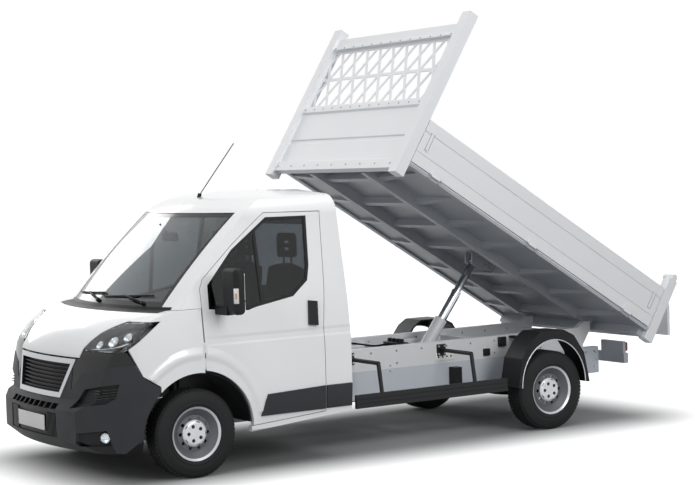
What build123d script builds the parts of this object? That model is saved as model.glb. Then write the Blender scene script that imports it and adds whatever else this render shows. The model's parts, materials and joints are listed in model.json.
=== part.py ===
# A light tipper truck: a bonneted cab in front, a tipping bed with drop sides behind.
# Millimetres, +X forward, +Y to the truck's left, +Z up, on the ground under its middle.
# Sizes along X below are counted from the front axle, which stands at FRONT_AXLE_X.
import math
import os
from build123d import *

os.makedirs("parts", exist_ok=True)

# Driving dimensions
FRONT_AXLE_X = 1980.0
WHEELBASE = 3450.0
TRACK_FRONT = 1810.0
TRACK_REAR = 1790.0
TYRE_DIAMETER = 682.0
KINGPIN_Y = 740.0
HUB_RADIUS = 40.0
TYRE_WIDTH = 215.0
CAB_BACK = -1400.0
CAB_HALF_WIDTH = 1025.0
FLOOR_HALF_WIDTH = 930.0
ROOF_HEIGHT = 2150.0
NOSE = 925.0
BOW_CENTRE = -2200.0
ARCH_RADIUS = 462.0
ARCH_CENTRE = -20.0
DOOR_WALL = 50.0
ROOF_SEAM = 1994.0
DOOR_HINGE_X = -88.0
DOOR_HINGE_Y = 1021.0
DOOR_HINGES = (870.0, 990.0)
SKIN = 25.0
PANEL_GAP = 6.0
LAMP_GAP = 12.0
RAIL_INSIDE = 380.0
RAIL_OUTSIDE = 450.0
RAIL_BOTTOM = 360.0
RAIL_TOP = 600.0
RAIL_REAR = -4450.0
SUBFRAME_TOP = 788.0
PIVOT_X = -4330.0
PIVOT_Z = 800.0
TIP_ANGLE = 31.6
BED_HALF_WIDTH = 1050.0
BED_FRONT = 2788.0
BED_REAR = -170.0
BED_FLOOR_TOP = 108.0
DROPSIDE_HEIGHT = 386.0
DROPSIDE_THICK = 28.0
HINGE_Y = 1056.0
HINGE_W = 104.0
HINGES = (135.0, 1355.0, 2511.0)
BEARERS = (140.0, 530.0, 905.0, 1405.0, 1800.0, 2200.0, 2620.0)
HEADBOARD_TOP = 1490.0
TAILGATE_PIN_U = -226.0
TAILGATE_PIN_W = 640.0
RAM_FOOT_X = -2827.0
RAM_FOOT_Z = 690.0
RAM_EYE_U = 1128.0
RAM_EYE_W = 40.0
LINER_WALL = 5.0
LINER_INSIDE = 650.0
RECESS_BACK = 12.0
INTAKE_DEPTH = 14.0
BAND_DEPTH = 4.0
GRILLE_BARS = 8
GRILLE_PITCH = 29.0
SLOT_COUNT = 9
SLOT_PITCH = 96.0
SCREEN_LOW = 660.0
SCREEN_TOP = 1275.0
BAND_TOP = 1395.0
LATTICE_PITCH = 205.0
LATTICE_BAR = 30.0
LATTICE_SLANT = 32.0
GROOVE_DEPTH = 6.0
TYRE_SIDES = 60
LUG_CIRCLE = 112.0
BRACKET_Z = 715.0

AXLE_Z = TYRE_DIAMETER / 2
REAR_AXLE = -WHEELBASE
TIP = math.radians(TIP_ANGLE)


def side(y=0.0):
    """Seen from the left: local x forward from the front axle, local y up, out along -Y."""
    return Plane(origin=(FRONT_AXLE_X, y, 0), x_dir=(1, 0, 0), z_dir=(0, -1, 0))


def level(z=0.0):
    """Seen from above: local x forward from the front axle, local y to the left."""
    return Plane(origin=(FRONT_AXLE_X, 0, z), x_dir=(1, 0, 0), z_dir=(0, 0, 1))


def front(x=0.0):
    """Seen from the front: local x to the left, local y up, out along +X."""
    return Plane(origin=(FRONT_AXLE_X + x, 0, 0), x_dir=(0, 1, 0), z_dir=(1, 0, 0))


def on_bed(u, w):
    """A place on the tipped bed, u forward of the pivot and w above it, as world x and z."""
    x = FRONT_AXLE_X + PIVOT_X + u * math.cos(TIP) - w * math.sin(TIP)
    z = PIVOT_Z + u * math.sin(TIP) + w * math.cos(TIP)
    return x, z


def bed_side(y=0.0):
    """The bed from its left side: local x forward along the bed, local y up from it."""
    x, z = on_bed(0, 0)
    return Plane(origin=(x, y, z), x_dir=(math.cos(TIP), 0, math.sin(TIP)), z_dir=(0, -1, 0))


def bed_level(w=0.0):
    """The bed from above: local x forward along the bed, local y to the left."""
    x, z = on_bed(0, w)
    up = (-math.sin(TIP), 0, math.cos(TIP))
    return Plane(origin=(x, 0, z), x_dir=(math.cos(TIP), 0, math.sin(TIP)), z_dir=up)


def bed_front(u=0.0):
    """The bed from the front: local x to the left, local y up, out along the bed."""
    x, z = on_bed(u, 0)
    ahead = (math.cos(TIP), 0, math.sin(TIP))
    return Plane(origin=(x, 0, z), x_dir=(0, 1, 0), z_dir=ahead)


def inset_outline(points, inset):
    """A closed outline, given anticlockwise, with every corner moved in by the inset."""
    moved = []
    count = len(points)
    for index in range(count):
        before = Vector(*points[index - 1])
        here = Vector(*points[index])
        after = Vector(*points[(index + 1) % count])
        first = (here - before).normalized()
        second = (after - here).normalized()
        first_in = Vector(-first.Y, first.X)
        second_in = Vector(-second.Y, second.X)
        mitre = (first_in + second_in) * (inset / (1 + first_in.dot(second_in)))
        moved.append((here.X + mitre.X, here.Y + mitre.Y))
    return moved


def chain(points, bends):
    """A closed line through the points, bowed where a point's number is in the bends."""
    index = 0
    count = len(points)
    while index < count:
        start = points[index]
        nearest = points[(index + 1) % count]
        if index + 1 in bends:
            ThreePointArc(start, nearest, points[(index + 2) % count])
            index += 2
        else:
            Line(start, nearest)
            index += 1


def cab_volume(inset, back=0.0):
    """The whole cab as one block, with every face but the back moved in by the inset."""
    profile = [(BOW_CENTRE, 250), (830, 250), (NOSE, 330), (NOSE, 560), (862, 640), (790, 965)]
    profile += [(640, 1150), (300, 1285), (-15, 1655), (-360, 2005), (-480, 2068), (-620, 2112)]
    profile += [(-1000, ROOF_HEIGHT), (CAB_BACK, ROOF_HEIGHT - 5), (BOW_CENTRE, ROOF_HEIGHT - 60)]
    wide = CAB_HALF_WIDTH
    half = [(wide - 65, 250), (wide - 25, 320), (wide - 3, 560), (wide, 940), (wide - 38, 1280)]
    half += [(wide - 160, 1940), (wide - 200, 2050), (wide - 310, 2112), (0, ROOF_HEIGHT + 18)]
    section = half + [(-y, z) for y, z in reversed(half[:-1])]
    corner = [(-1500, -wide - 5), (-1500, -wide - 5), (100, -wide - 5), (560, -965), (820, -720)]
    corner = corner[1:] + [(1100, -380)]
    plan = corner + [(x, -y) for x, y in reversed(corner)]
    with BuildPart() as volume:
        with BuildSketch(side()):
            with BuildLine():
                inner = inset_outline(profile, inset)
                chain([(max(x, BOW_CENTRE), z) for x, z in inner], [6, 8, 10, 12])
            make_face()
        revolve(axis=Axis((FRONT_AXLE_X + BOW_CENTRE, 0, 0), (0, 0, 1)), revolution_arc=360)
        with BuildSketch(front(CAB_BACK + back)):
            with BuildLine():
                chain(inset_outline(section, inset), [6, 10])
            make_face()
        extrude(amount=NOSE - CAB_BACK - back + 60, dir=(1, 0, 0), mode=Mode.INTERSECT)
        with BuildSketch(level()):
            with BuildLine():
                chain(inset_outline(plan, inset), [2, 7])
            make_face()
        extrude(amount=ROOF_HEIGHT + 50, dir=(0, 0, 1), mode=Mode.INTERSECT)
    return volume.part


def side_outline(points, y_from, y_to):
    """A prism over an outline seen from the side, between two distances from the middle."""
    with BuildPart() as prism:
        with BuildSketch(side(y_to)):
            with BuildLine():
                Polyline(*points, close=True)
            make_face()
        extrude(amount=y_to - y_from, dir=(0, -1, 0))
    return prism.part


def front_prism(points):
    """A prism over an outline seen from the front, from ahead of the nose backwards."""
    with BuildPart() as prism:
        with BuildSketch(front(1200)):
            with BuildLine():
                Polyline(*points, close=True)
            make_face()
        extrude(amount=1000, dir=(-1, 0, 0))
    return prism.part


def mirrored(points):
    """The outline on the other side of the truck's middle, still anticlockwise."""
    return [(-y, z) for y, z in reversed(points)]


def block(x_from, x_to, y_from, y_to, z_from, z_to, mode=Mode.ADD):
    """A plain block between two places on each axis, x from the front axle."""
    middle = ((x_from + x_to) / 2 + FRONT_AXLE_X, (y_from + y_to) / 2, (z_from + z_to) / 2)
    with Locations(middle):
        Box(x_to - x_from, y_to - y_from, z_to - z_from, mode=mode)


def rod_between(start, end, radius, mode=Mode.ADD):
    """A round bar between two places, x from the front axle."""
    begin = Vector(start[0] + FRONT_AXLE_X, start[1], start[2])
    finish = Vector(end[0] + FRONT_AXLE_X, end[1], end[2])
    along = finish - begin
    with BuildSketch(Plane(origin=begin, z_dir=along)) as section:
        Circle(radius)
    extrude(section.sketch, amount=along.length, mode=mode)


def bed_block(u_from, u_to, y_from, y_to, w_from, w_to, mode=Mode.ADD):
    """A plain block on the bed: u forward of the pivot, y to the left, w above the pivot."""
    with BuildSketch(bed_level(w_from)) as base:
        with Locations(((u_from + u_to) / 2, (y_from + y_to) / 2)):
            Rectangle(u_to - u_from, y_to - y_from)
    extrude(base.sketch, amount=w_to - w_from, mode=mode)


def hinge_knuckle(u, length, sign):
    """A round knuckle on a drop side's hinge line, from u forward."""
    with BuildSketch(bed_front(u)) as eye:
        with Locations((sign * HINGE_Y, HINGE_W)):
            Circle(9)
    extrude(eye.sketch, amount=length)


# Outlines of the cab's panels, seen from the side unless they say otherwise
DOOR_OUTLINE = [(-1150, 402), (-1150, 1049), (-1196, 1423), (-1236, 1975), (-725, 1982)]
DOOR_OUTLINE += [(-420, 1755), (-125, 1500), (-94, 1430), (-94, 345), (-430, 350)]
WINDOW_OUTLINE = [(-1110, 1948), (-739, 1950), (-400, 1712), (-160, 1455), (-150, 1275)]
WINDOW_OUTLINE += [(-494, 1245), (-562, 1265), (-904, 1325), (-1050, 1440), (-1080, 1560)]
WING_FRONT = [(291, 600), (291, 728), (433, 816), (529, 1022), (262, 1215), (420, 1215)]

# Outlines on the bumper, seen from the front
SIDE_VENT = [(591, 580), (882, 623), (928, 664), (944, 768), (692, 724)]
FOG_RECESS = [(673, 300), (905, 312), (880, 425), (690, 400)]
LOWER_INTAKE = [(-445, 350), (445, 350), (430, 535), (-430, 535)]
GLOSS_BAND = [(517, 712), (634, 837), (884, 894), (989, 912), (975, 1003), (553, 1003), (490, 895)]

cab_block = cab_volume(0)
wall_core = cab_volume(DOOR_WALL)
skin_core = cab_volume(SKIN)

with BuildPart() as cab_wall:
    add(cab_block)
    add(wall_core, mode=Mode.SUBTRACT)

with BuildPart() as cab_skin:
    add(cab_block)
    add(skin_core, mode=Mode.SUBTRACT)

with BuildPart() as cab_glass:
    add(cab_volume(4))
    add(cab_volume(10), mode=Mode.SUBTRACT)

with BuildPart() as arch_cut:
    with BuildSketch(side(1200)):
        with Locations((ARCH_CENTRE, AXLE_Z)):
            Circle(ARCH_RADIUS)
    extrude(amount=2400)

with BuildPart() as door_arch_cut:
    with BuildSketch(side(1200)):
        with Locations((ARCH_CENTRE, AXLE_Z)):
            Circle(ARCH_RADIUS + 18)
    extrude(amount=2400)


def bonnet_prism(gap):
    """The bonnet's region: its plan outline, above the leading edge, grown by the gap."""
    rear = 400.0 - BOW_CENTRE + 3.0 - gap
    wide = 905 + 1.5 * gap
    corner = BOW_CENTRE + math.sqrt(rear**2 - wide**2)
    with BuildPart() as prism:
        with BuildSketch(level(900)):
            with BuildLine():
                ThreePointArc((corner, -wide), (BOW_CENTRE + rear, 0), (corner, wide))
                edge = [(corner, wide), (418, 785 + gap), (596, 628 + gap), (700, 560 + gap)]
                edge += [(980, 540 + gap), (980, -540 - gap), (700, -560 - gap)]
                edge += [(596, -628 - gap), (418, -785 - gap), (corner, -wide)]
                Polyline(*edge)
            make_face()
        extrude(amount=600)
        with BuildSketch(front(1100)):
            with BuildLine():
                lip = [(-1000, 1600), (-1000, 1004 - gap), (-602, 1004 - gap), (-560, 950 - gap)]
                lip += [(560, 950 - gap), (602, 1004 - gap), (1000, 1004 - gap), (1000, 1600)]
                Polyline(*lip, close=True)
            make_face()
        extrude(amount=1500, dir=(-1, 0, 0), mode=Mode.INTERSECT)
    return prism.part


with BuildPart() as scuttle_ring:
    with BuildSketch(level(1150)):
        with Locations((BOW_CENTRE, 0)):
            Circle(400.0 - BOW_CENTRE - 3)
            Circle(284.0 - BOW_CENTRE, mode=Mode.SUBTRACT)
        Rectangle(2 * NOSE, 1800, mode=Mode.INTERSECT)
    extrude(amount=300)


def windscreen_prism(gap):
    """The windscreen's region seen from the front, grown by the gap."""
    with BuildPart() as prism:
        with BuildSketch(front(-700)):
            with BuildLine():
                corners = [(-800 - gap, 1300 - gap), (800 + gap, 1300 - gap)]
                corners += [(780 + gap, ROOF_SEAM), (-780 - gap, ROOF_SEAM)]
                Polyline(*corners, close=True)
            make_face()
        extrude(amount=1200)
    return prism.part


# The cab's body
with BuildPart() as roof:
    add(cab_wall.part)
    block(CAB_BACK, 400, -1100, 1100, ROOF_SEAM, 2300, mode=Mode.INTERSECT)
roof.part.label = "roof"

with BuildPart() as cab_sides:
    add(cab_wall.part)
    with BuildSketch(side(1200)):
        with BuildLine():
            edge = [(CAB_BACK, 382), (-440, 302), (-88, 302), (-88, 1287), (230, 1287)]
            edge += [(230, ROOF_SEAM), (CAB_BACK, ROOF_SEAM)]
            Polyline(*edge, close=True)
        make_face()
    extrude(amount=2400, mode=Mode.INTERSECT)
    add(windscreen_prism(0), mode=Mode.SUBTRACT)
    add(arch_cut.part, mode=Mode.SUBTRACT)
    add(scuttle_ring.part, mode=Mode.SUBTRACT)
    block(-1600, 600, -560, 560, 0, 2200, mode=Mode.SUBTRACT)
    with BuildSketch(side(1200)):
        with BuildLine():
            Polyline(*DOOR_OUTLINE, close=True)
        make_face()
        offset(amount=PANEL_GAP, kind=Kind.INTERSECTION)
    extrude(amount=2400, dir=(0, -1, 0), mode=Mode.SUBTRACT)
cab_sides.part.label = "cab_sides"

with BuildPart() as cab_back:
    add(wall_core)
    block(CAB_BACK, CAB_BACK + DOOR_WALL, -1000, 1000, 410, ROOF_SEAM, mode=Mode.INTERSECT)
    block(CAB_BACK, CAB_BACK + DOOR_WALL, -560, 560, 1330, 1860, mode=Mode.SUBTRACT)
cab_back.part.label = "cab_back"

with BuildPart() as rear_window:
    block(CAB_BACK + 15, CAB_BACK + 21, -560, 560, 1330, 1860)
rear_window.part.label = "rear_window"

with BuildPart() as door_left:
    add(cab_wall.part)
    add(side_outline(DOOR_OUTLINE, 500, 1200), mode=Mode.INTERSECT)
    add(door_arch_cut.part, mode=Mode.SUBTRACT)
    add(side_outline(WINDOW_OUTLINE, 500, 1200), mode=Mode.SUBTRACT)
    for z in DOOR_HINGES:
        rod_between((DOOR_HINGE_X, DOOR_HINGE_Y, z - 20), (DOOR_HINGE_X, DOOR_HINGE_Y, z + 20), 5)
        block(-110, DOOR_HINGE_X, DOOR_HINGE_Y - 4, DOOR_HINGE_Y, z - 20, z + 20)

with BuildPart() as bonnet:
    add(cab_skin.part)
    add(bonnet_prism(0), mode=Mode.INTERSECT)
bonnet.part.label = "bonnet"

with BuildPart() as scuttle:
    add(cab_skin.part)
    add(scuttle_ring.part, mode=Mode.INTERSECT)
    add(bonnet_prism(PANEL_GAP), mode=Mode.SUBTRACT)
    for y in (-500, 500):
        with BuildSketch(level(1234)):
            with Locations((BOW_CENTRE, 0)):
                Circle(400.0 - BOW_CENTRE + 2)
                Circle(400.0 - BOW_CENTRE - 20, mode=Mode.SUBTRACT)
            with Locations((350, y)):
                Rectangle(300, 70, mode=Mode.INTERSECT)
        extrude(amount=16)
scuttle.part.label = "scuttle"

with BuildPart() as front_wings:
    add(cab_skin.part)
    with BuildSketch(side(1200)):
        with BuildLine():
            Polyline((-82, 600), *WING_FRONT, (420, 1284), (-82, 1284), close=True)
        make_face()
    extrude(amount=2400, mode=Mode.INTERSECT)
    add(arch_cut.part, mode=Mode.SUBTRACT)
    add(bonnet_prism(PANEL_GAP), mode=Mode.SUBTRACT)
    add(scuttle_ring.part, mode=Mode.SUBTRACT)
    block(-600, 1000, -560, 560, 0, 2200, mode=Mode.SUBTRACT)
    for sign in (-1, 1):
        for z in DOOR_HINGES:
            for start in (z - 40.2, z + 20.2):
                top = (DOOR_HINGE_X, sign * DOOR_HINGE_Y, start + 20)
                rod_between((DOOR_HINGE_X, sign * DOOR_HINGE_Y, start), top, 5)
                y_from, y_to = sorted((sign * (DOOR_HINGE_Y - 4), sign * DOOR_HINGE_Y))
                block(DOOR_HINGE_X, -70, y_from, y_to, start, start + 20)
front_wings.part.label = "front_wings"

with BuildPart() as front_lamps:
    add(cab_wall.part)
    with BuildSketch(side(1200)):
        with BuildLine():
            Polyline((272, 1212), (720, 1212), (900, 1002), (562, 1002), close=True)
        make_face()
    extrude(amount=2400, mode=Mode.INTERSECT)
    add(bonnet_prism(LAMP_GAP), mode=Mode.SUBTRACT)
    block(-600, 1000, -560, 560, 0, 2200, mode=Mode.SUBTRACT)
front_lamps.part.label = "front_lamps"

with BuildPart() as windscreen:
    add(cab_glass.part)
    add(windscreen_prism(0), mode=Mode.INTERSECT)
windscreen.part.label = "windscreen"

GRILLE_FRAME = [(-394, 643), (394, 643), (521, 938), (-521, 938)]

# The side vents and fog recesses have a panel behind the bumper's skin
with BuildPart() as recess_regions:
    for points in (SIDE_VENT, mirrored(SIDE_VENT), FOG_RECESS, mirrored(FOG_RECESS)):
        add(front_prism(inset_outline(points, -20)))

with BuildPart() as recess_backs:
    add(skin_core)
    add(cab_volume(SKIN + RECESS_BACK), mode=Mode.SUBTRACT)
    add(recess_regions.part, mode=Mode.INTERSECT)
    block(540, NOSE, -CAB_HALF_WIDTH, CAB_HALF_WIDTH, 200, 1000, mode=Mode.INTERSECT)

# The lower intake is a deep pocket, and the band below the lamps a shallow one
with BuildPart() as front_cuts:
    add(cab_block)
    add(cab_volume(INTAKE_DEPTH), mode=Mode.SUBTRACT)
    add(front_prism(LOWER_INTAKE), mode=Mode.INTERSECT)

with BuildPart() as bands:
    add(front_prism(GLOSS_BAND))
    add(front_prism(mirrored(GLOSS_BAND)))

with BuildPart() as band_cuts:
    add(cab_block)
    add(cab_volume(BAND_DEPTH), mode=Mode.SUBTRACT)
    add(bands.part, mode=Mode.INTERSECT)

with BuildPart() as bumper:
    add(cab_skin.part)
    with BuildSketch(side(1200)):
        with BuildLine():
            line = [(297, 200), (297, 722), (441, 811), (541, 1002), (1000, 1002), (1000, 200)]
            Polyline(*line, close=True)
        make_face()
    extrude(amount=2400, mode=Mode.INTERSECT)
    add(arch_cut.part, mode=Mode.SUBTRACT)
    add(bonnet_prism(PANEL_GAP), mode=Mode.SUBTRACT)
    add(front_prism(GRILLE_FRAME), mode=Mode.SUBTRACT)
    for points in (SIDE_VENT, mirrored(SIDE_VENT), FOG_RECESS, mirrored(FOG_RECESS)):
        add(front_prism(points), mode=Mode.SUBTRACT)
    add(recess_backs.part)
    add(front_cuts.part, mode=Mode.SUBTRACT)
    add(band_cuts.part, mode=Mode.SUBTRACT)
    for index in range(SLOT_COUNT):
        y = (index - (SLOT_COUNT - 1) / 2) * SLOT_PITCH
        block(780, 1000, y - SLOT_PITCH * 0.41, y + SLOT_PITCH * 0.41, 560, 602, mode=Mode.SUBTRACT)
    block(880, NOSE - 12, -265, 265, 380, 508)
    block(700, 1000, -530, 530, 930, 950, mode=Mode.SUBTRACT)
bumper.part.label = "bumper"

with BuildPart() as arch_liners:
    with BuildSketch(side(1200)):
        with Locations((ARCH_CENTRE, AXLE_Z)):
            Circle(ARCH_RADIUS + LINER_WALL)
            Circle(ARCH_RADIUS, mode=Mode.SUBTRACT)
        with Locations((ARCH_CENTRE, AXLE_Z + 40 + ARCH_RADIUS)):
            Rectangle(3 * ARCH_RADIUS, 2 * ARCH_RADIUS, mode=Mode.INTERSECT)
    extrude(amount=2400)
    add(skin_core, mode=Mode.INTERSECT)
    block(-1600, 1600, -LINER_INSIDE, LINER_INSIDE, 0, ROOF_HEIGHT, mode=Mode.SUBTRACT)
arch_liners.part.label = "arch_liners"

# The doors, their glass, trim and mirrors
with BuildPart() as window_ring:
    add(cab_volume(2))
    add(cab_volume(30), mode=Mode.SUBTRACT)
    add(side_outline(WINDOW_OUTLINE, 500, 1200), mode=Mode.INTERSECT)
    with BuildSketch(side(1200)):
        with BuildLine():
            Polyline(*WINDOW_OUTLINE, close=True)
        make_face()
        offset(amount=-24, kind=Kind.INTERSECTION, mode=Mode.REPLACE)
        with Locations((-622, 1600)):
            Rectangle(26, 900, mode=Mode.SUBTRACT)
    extrude(amount=700, dir=(0, -1, 0), mode=Mode.SUBTRACT)

with BuildPart() as door_glass_left:
    add(cab_volume(8))
    add(cab_volume(14), mode=Mode.SUBTRACT)
    with BuildSketch(side(1200)):
        with BuildLine():
            Polyline(*WINDOW_OUTLINE, close=True)
        make_face()
        offset(amount=-24, kind=Kind.INTERSECTION, mode=Mode.REPLACE)
        with Locations((-622, 1600)):
            Rectangle(26, 900, mode=Mode.SUBTRACT)
    extrude(amount=700, dir=(0, -1, 0), mode=Mode.INTERSECT)

with BuildPart() as moulding:
    add(cab_volume(-14))
    add(cab_block, mode=Mode.SUBTRACT)
    add(side_outline([(-1144, 420), (-1144, 605), (-620, 585), (-560, 420)], 900, 1200),
        mode=Mode.INTERSECT)

with BuildPart() as handle:
    add(cab_volume(-26))
    add(cab_block, mode=Mode.SUBTRACT)
    add(side_outline([(-1095, 1085), (-1105, 1275), (-1030, 1285), (-1015, 1095)], 900, 1200),
        mode=Mode.INTERSECT)

with BuildPart() as door_trim_left:
    add(window_ring.part)
    add(moulding.part)
    add(handle.part)

with BuildPart() as mirror_left:
    block(-300, -205, 1095, 1315, 1240, 1590)
    fillet(mirror_left.edges(), 38)
    block(-255, -200, 960, 1180, 1235, 1300)
    add(cab_block, mode=Mode.SUBTRACT)

right_hand = [("door", door_left), ("door_glass", door_glass_left)]
right_hand += [("door_trim", door_trim_left), ("mirror", mirror_left)]
for kind, left in right_hand:
    left.part.label = kind + "_left"
    export_step(left.part, "parts/" + kind + "_left.step")
    with BuildPart() as other:
        mirror(left.part, about=Plane.XZ)
    other.part.label = kind + "_right"
    export_step(other.part, "parts/" + kind + "_right.step")

# Inside the cab
with BuildPart() as cab_floor:
    with BuildSketch(side(FLOOR_HALF_WIDTH)):
        with BuildLine():
            top = [(CAB_BACK + DOOR_WALL, 450), (-575, 450), (-490, 715), (-410, 842)]
            top += [(130, 842), (205, 1180)]
            under = [(230, 1180), (155, 818), (-396, 818), (-470, 700), (-556, 430)]
            under += [(CAB_BACK + DOOR_WALL, 430)]
            Polyline(*top, *under, close=True)
        make_face()
    extrude(amount=2 * FLOOR_HALF_WIDTH)
    block(CAB_BACK + DOOR_WALL, -1165, -CAB_HALF_WIDTH, CAB_HALF_WIDTH, 430, 450)
    add(wall_core, mode=Mode.INTERSECT)
    add(arch_cut.part, mode=Mode.SUBTRACT)
cab_floor.part.label = "cab_floor"

SEATS = (
    # y of the middle, width
    (450, 500),
    (-220, 460),
    (-670, 420),
)
with BuildPart() as seats:
    for y, width in SEATS:
        with BuildSketch(side(y + width / 2)):
            with BuildLine():
                Polyline((-1130, 790), (-600, 800), (-590, 930), (-1120, 900), close=True)
            make_face()
            with BuildLine():
                Polyline((-1120, 895), (-1010, 895), (-1120, 1560), (-1225, 1560), close=True)
            make_face()
        extrude(amount=width)
        block(-1210, -1130, y - 130, y + 130, 1600, 1800)
        block(-1185, -1165, y - 70, y - 50, 1540, 1620)
        block(-1185, -1165, y + 50, y + 70, 1540, 1620)
        block(-1080, -640, y - width / 2 + 50, y + width / 2 - 50, 450, 800)
seats.part.label = "seats"

with BuildPart() as dashboard:
    with BuildSketch(side(880)):
        with BuildLine():
            line = [(-330, 880), (-380, 1080), (-330, 1190), (-120, 1250), (90, 1235), (120, 842)]
            line += [(40, 842)]
            Polyline(*line, close=True)
        make_face()
    extrude(amount=1760)
    add(wall_core, mode=Mode.INTERSECT)
dashboard.part.label = "dashboard"

STEERING = Plane(
    origin=(FRONT_AXLE_X - 520, 450, 1130), x_dir=(0, 1, 0), z_dir=(-0.75, 0, 0.66)
)
with BuildPart() as steering_wheel:
    across = Plane(origin=STEERING.origin, x_dir=STEERING.x_dir, z_dir=STEERING.y_dir)
    with BuildSketch(across):
        with Locations((175, 0)):
            Circle(15)
    revolve(axis=Axis(STEERING.origin, STEERING.z_dir))
    with BuildSketch(STEERING.offset(-9)):
        Rectangle(340, 40)
        with Locations((0, -85)):
            Rectangle(40, 170)
        Circle(70)
    extrude(amount=18)
    with BuildSketch(STEERING):
        Circle(35)
    extrude(amount=-280)
    add(dashboard.part, mode=Mode.SUBTRACT)
steering_wheel.part.label = "steering_wheel"

GRILLE_RIM = 38.0
BAR_SEAT = inset_outline(GRILLE_FRAME, GRILLE_RIM - 8)
with BuildPart() as grille_bars:
    add(cab_volume(INTAKE_DEPTH))
    add(wall_core, mode=Mode.SUBTRACT)
    with BuildSketch(front(1200)):
        for index in range(GRILLE_BARS):
            with Locations((0, 695 + index * GRILLE_PITCH)):
                Rectangle(1100, 11)
    extrude(amount=1000, dir=(-1, 0, 0), mode=Mode.INTERSECT)
    add(front_prism(BAR_SEAT), mode=Mode.INTERSECT)

with BuildPart() as grille_back:
    add(cab_volume(40))
    add(wall_core, mode=Mode.SUBTRACT)
    add(front_prism(BAR_SEAT), mode=Mode.INTERSECT)

with BuildPart() as grille:
    add(cab_volume(-4))
    add(wall_core, mode=Mode.SUBTRACT)
    add(front_prism(GRILLE_FRAME), mode=Mode.INTERSECT)
    add(front_prism(inset_outline(GRILLE_FRAME, GRILLE_RIM)), mode=Mode.SUBTRACT)
    add(grille_bars.part)
    add(grille_back.part)
grille.part.label = "grille"

with BuildPart() as wipers:
    for x, y in ((345, -60), (255, 640)):
        rod_between((x, y, 1240), (x, y, 1306), 12)
        rod_between((x, y, 1306), (x - 40, y - 260, 1345), 7)
        rod_between((x - 20, y - 120, 1328), (x - 100, y - 560, 1385), 7)
    add(cab_block, mode=Mode.SUBTRACT)
wipers.part.label = "wipers"

with BuildPart() as aerial:
    rod_between((-618, 0, 2108), (-630, 0, 2140), 16)
    rod_between((-626, 0, 2130), (-960, 0, 2544), 4)
    add(cab_block, mode=Mode.SUBTRACT)
aerial.part.label = "aerial"

# The chassis
with BuildPart() as crash_boxes:
    block(690, NOSE, -RAIL_OUTSIDE, -RAIL_INSIDE, 330, 395)
    block(690, NOSE, RAIL_INSIDE, RAIL_OUTSIDE, 330, 395)
    add(skin_core, mode=Mode.INTERSECT)

with BuildPart() as chassis_frame:
    for sign in (-1, 1):
        near, far = sorted((sign * RAIL_INSIDE, sign * RAIL_OUTSIDE))
        block(RAIL_REAR, -1412, near, far, RAIL_BOTTOM, RAIL_TOP)
        block(-1500, 700, near, far, 300, 400)
        inner = (near, far - 12) if sign > 0 else (near + 12, far)
        block(RAIL_REAR, -1500, inner[0], inner[1], RAIL_BOTTOM + 12, RAIL_TOP - 12,
              mode=Mode.SUBTRACT)
        for x in (-650, -1250):
            block(x - 40, x + 40, near, far, 399, 430)
    for x in (-1460, -2250, -3150, -3800, -4320):
        block(x - 40, x + 40, -RAIL_OUTSIDE + 10, RAIL_OUTSIDE - 10, 380, 480)
    block(620, 700, -RAIL_OUTSIDE, RAIL_OUTSIDE, 320, 400)
    add(crash_boxes.part)
    for y in (RAIL_OUTSIDE, -RAIL_OUTSIDE + 40):
        with BuildSketch(side(y)):
            with Locations((-4320, 510)):
                with GridLocations(200, 60, 2, 2):
                    Circle(7)
        extrude(amount=40, mode=Mode.SUBTRACT)
chassis_frame.part.label = "chassis_frame"

with BuildPart() as tipper_subframe:
    for sign in (-1, 1):
        near, far = sorted((sign * RAIL_INSIDE, sign * RAIL_OUTSIDE))
        block(-4270, -1470, near, far, RAIL_TOP, SUBFRAME_TOP)
        for ear in (388, 428):
            y = sign * (ear + 7)
            with BuildSketch(side(y + 7)):
                with BuildLine():
                    Polyline((-4200, 620), (-4200, 780), (-4300, 838), (-4365, 838), (-4365, 760),
                             (-4270, 620), close=True)
                make_face()
            extrude(amount=14)
        rod_between((PIVOT_X, sign * 390, PIVOT_Z), (PIVOT_X, sign * 440, PIVOT_Z), 14)
    for x in (-1510, -2400, -3300, -4230):
        block(x - 30, x + 30, -RAIL_INSIDE - 5, RAIL_INSIDE + 5, 620, 740)
    for sign in (-1, 1):
        with BuildSketch(side(sign * 300 + 85)):
            with Locations((RAM_FOOT_X, RAM_FOOT_Z)):
                Rectangle(140, 120)
                Circle(29, mode=Mode.SUBTRACT)
        extrude(amount=170)
    with BuildSketch(side(RAIL_OUTSIDE)):
        with Locations((-2870, 745)):
            with GridLocations(260, 1, 10, 1):
                Circle(9)
        with Locations((-2740, 640)):
            with GridLocations(520, 1, 5, 1):
                Circle(9)
    extrude(amount=2 * RAIL_OUTSIDE, mode=Mode.SUBTRACT)
tipper_subframe.part.label = "tipper_subframe"

with BuildPart() as front_suspension:
    block(-80, 80, -430, 430, 215, 300)
    for sign in (-1, 1):
        rod_between((60, sign * 420, 260), (0, sign * KINGPIN_Y, 225), 20)
        rod_between((-60, sign * 420, 260), (0, sign * KINGPIN_Y, 225), 20)
        with Locations((FRONT_AXLE_X, sign * KINGPIN_Y, 224.9)):
            Sphere(25)
        rod_between((0, sign * 640, 240), (-60, sign * 530, 790), 40)
        block(-160, 60, min(sign * 450, sign * 560), max(sign * 450, sign * 560), 780, 815)
front_suspension.part.label = "front_suspension"

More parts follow.
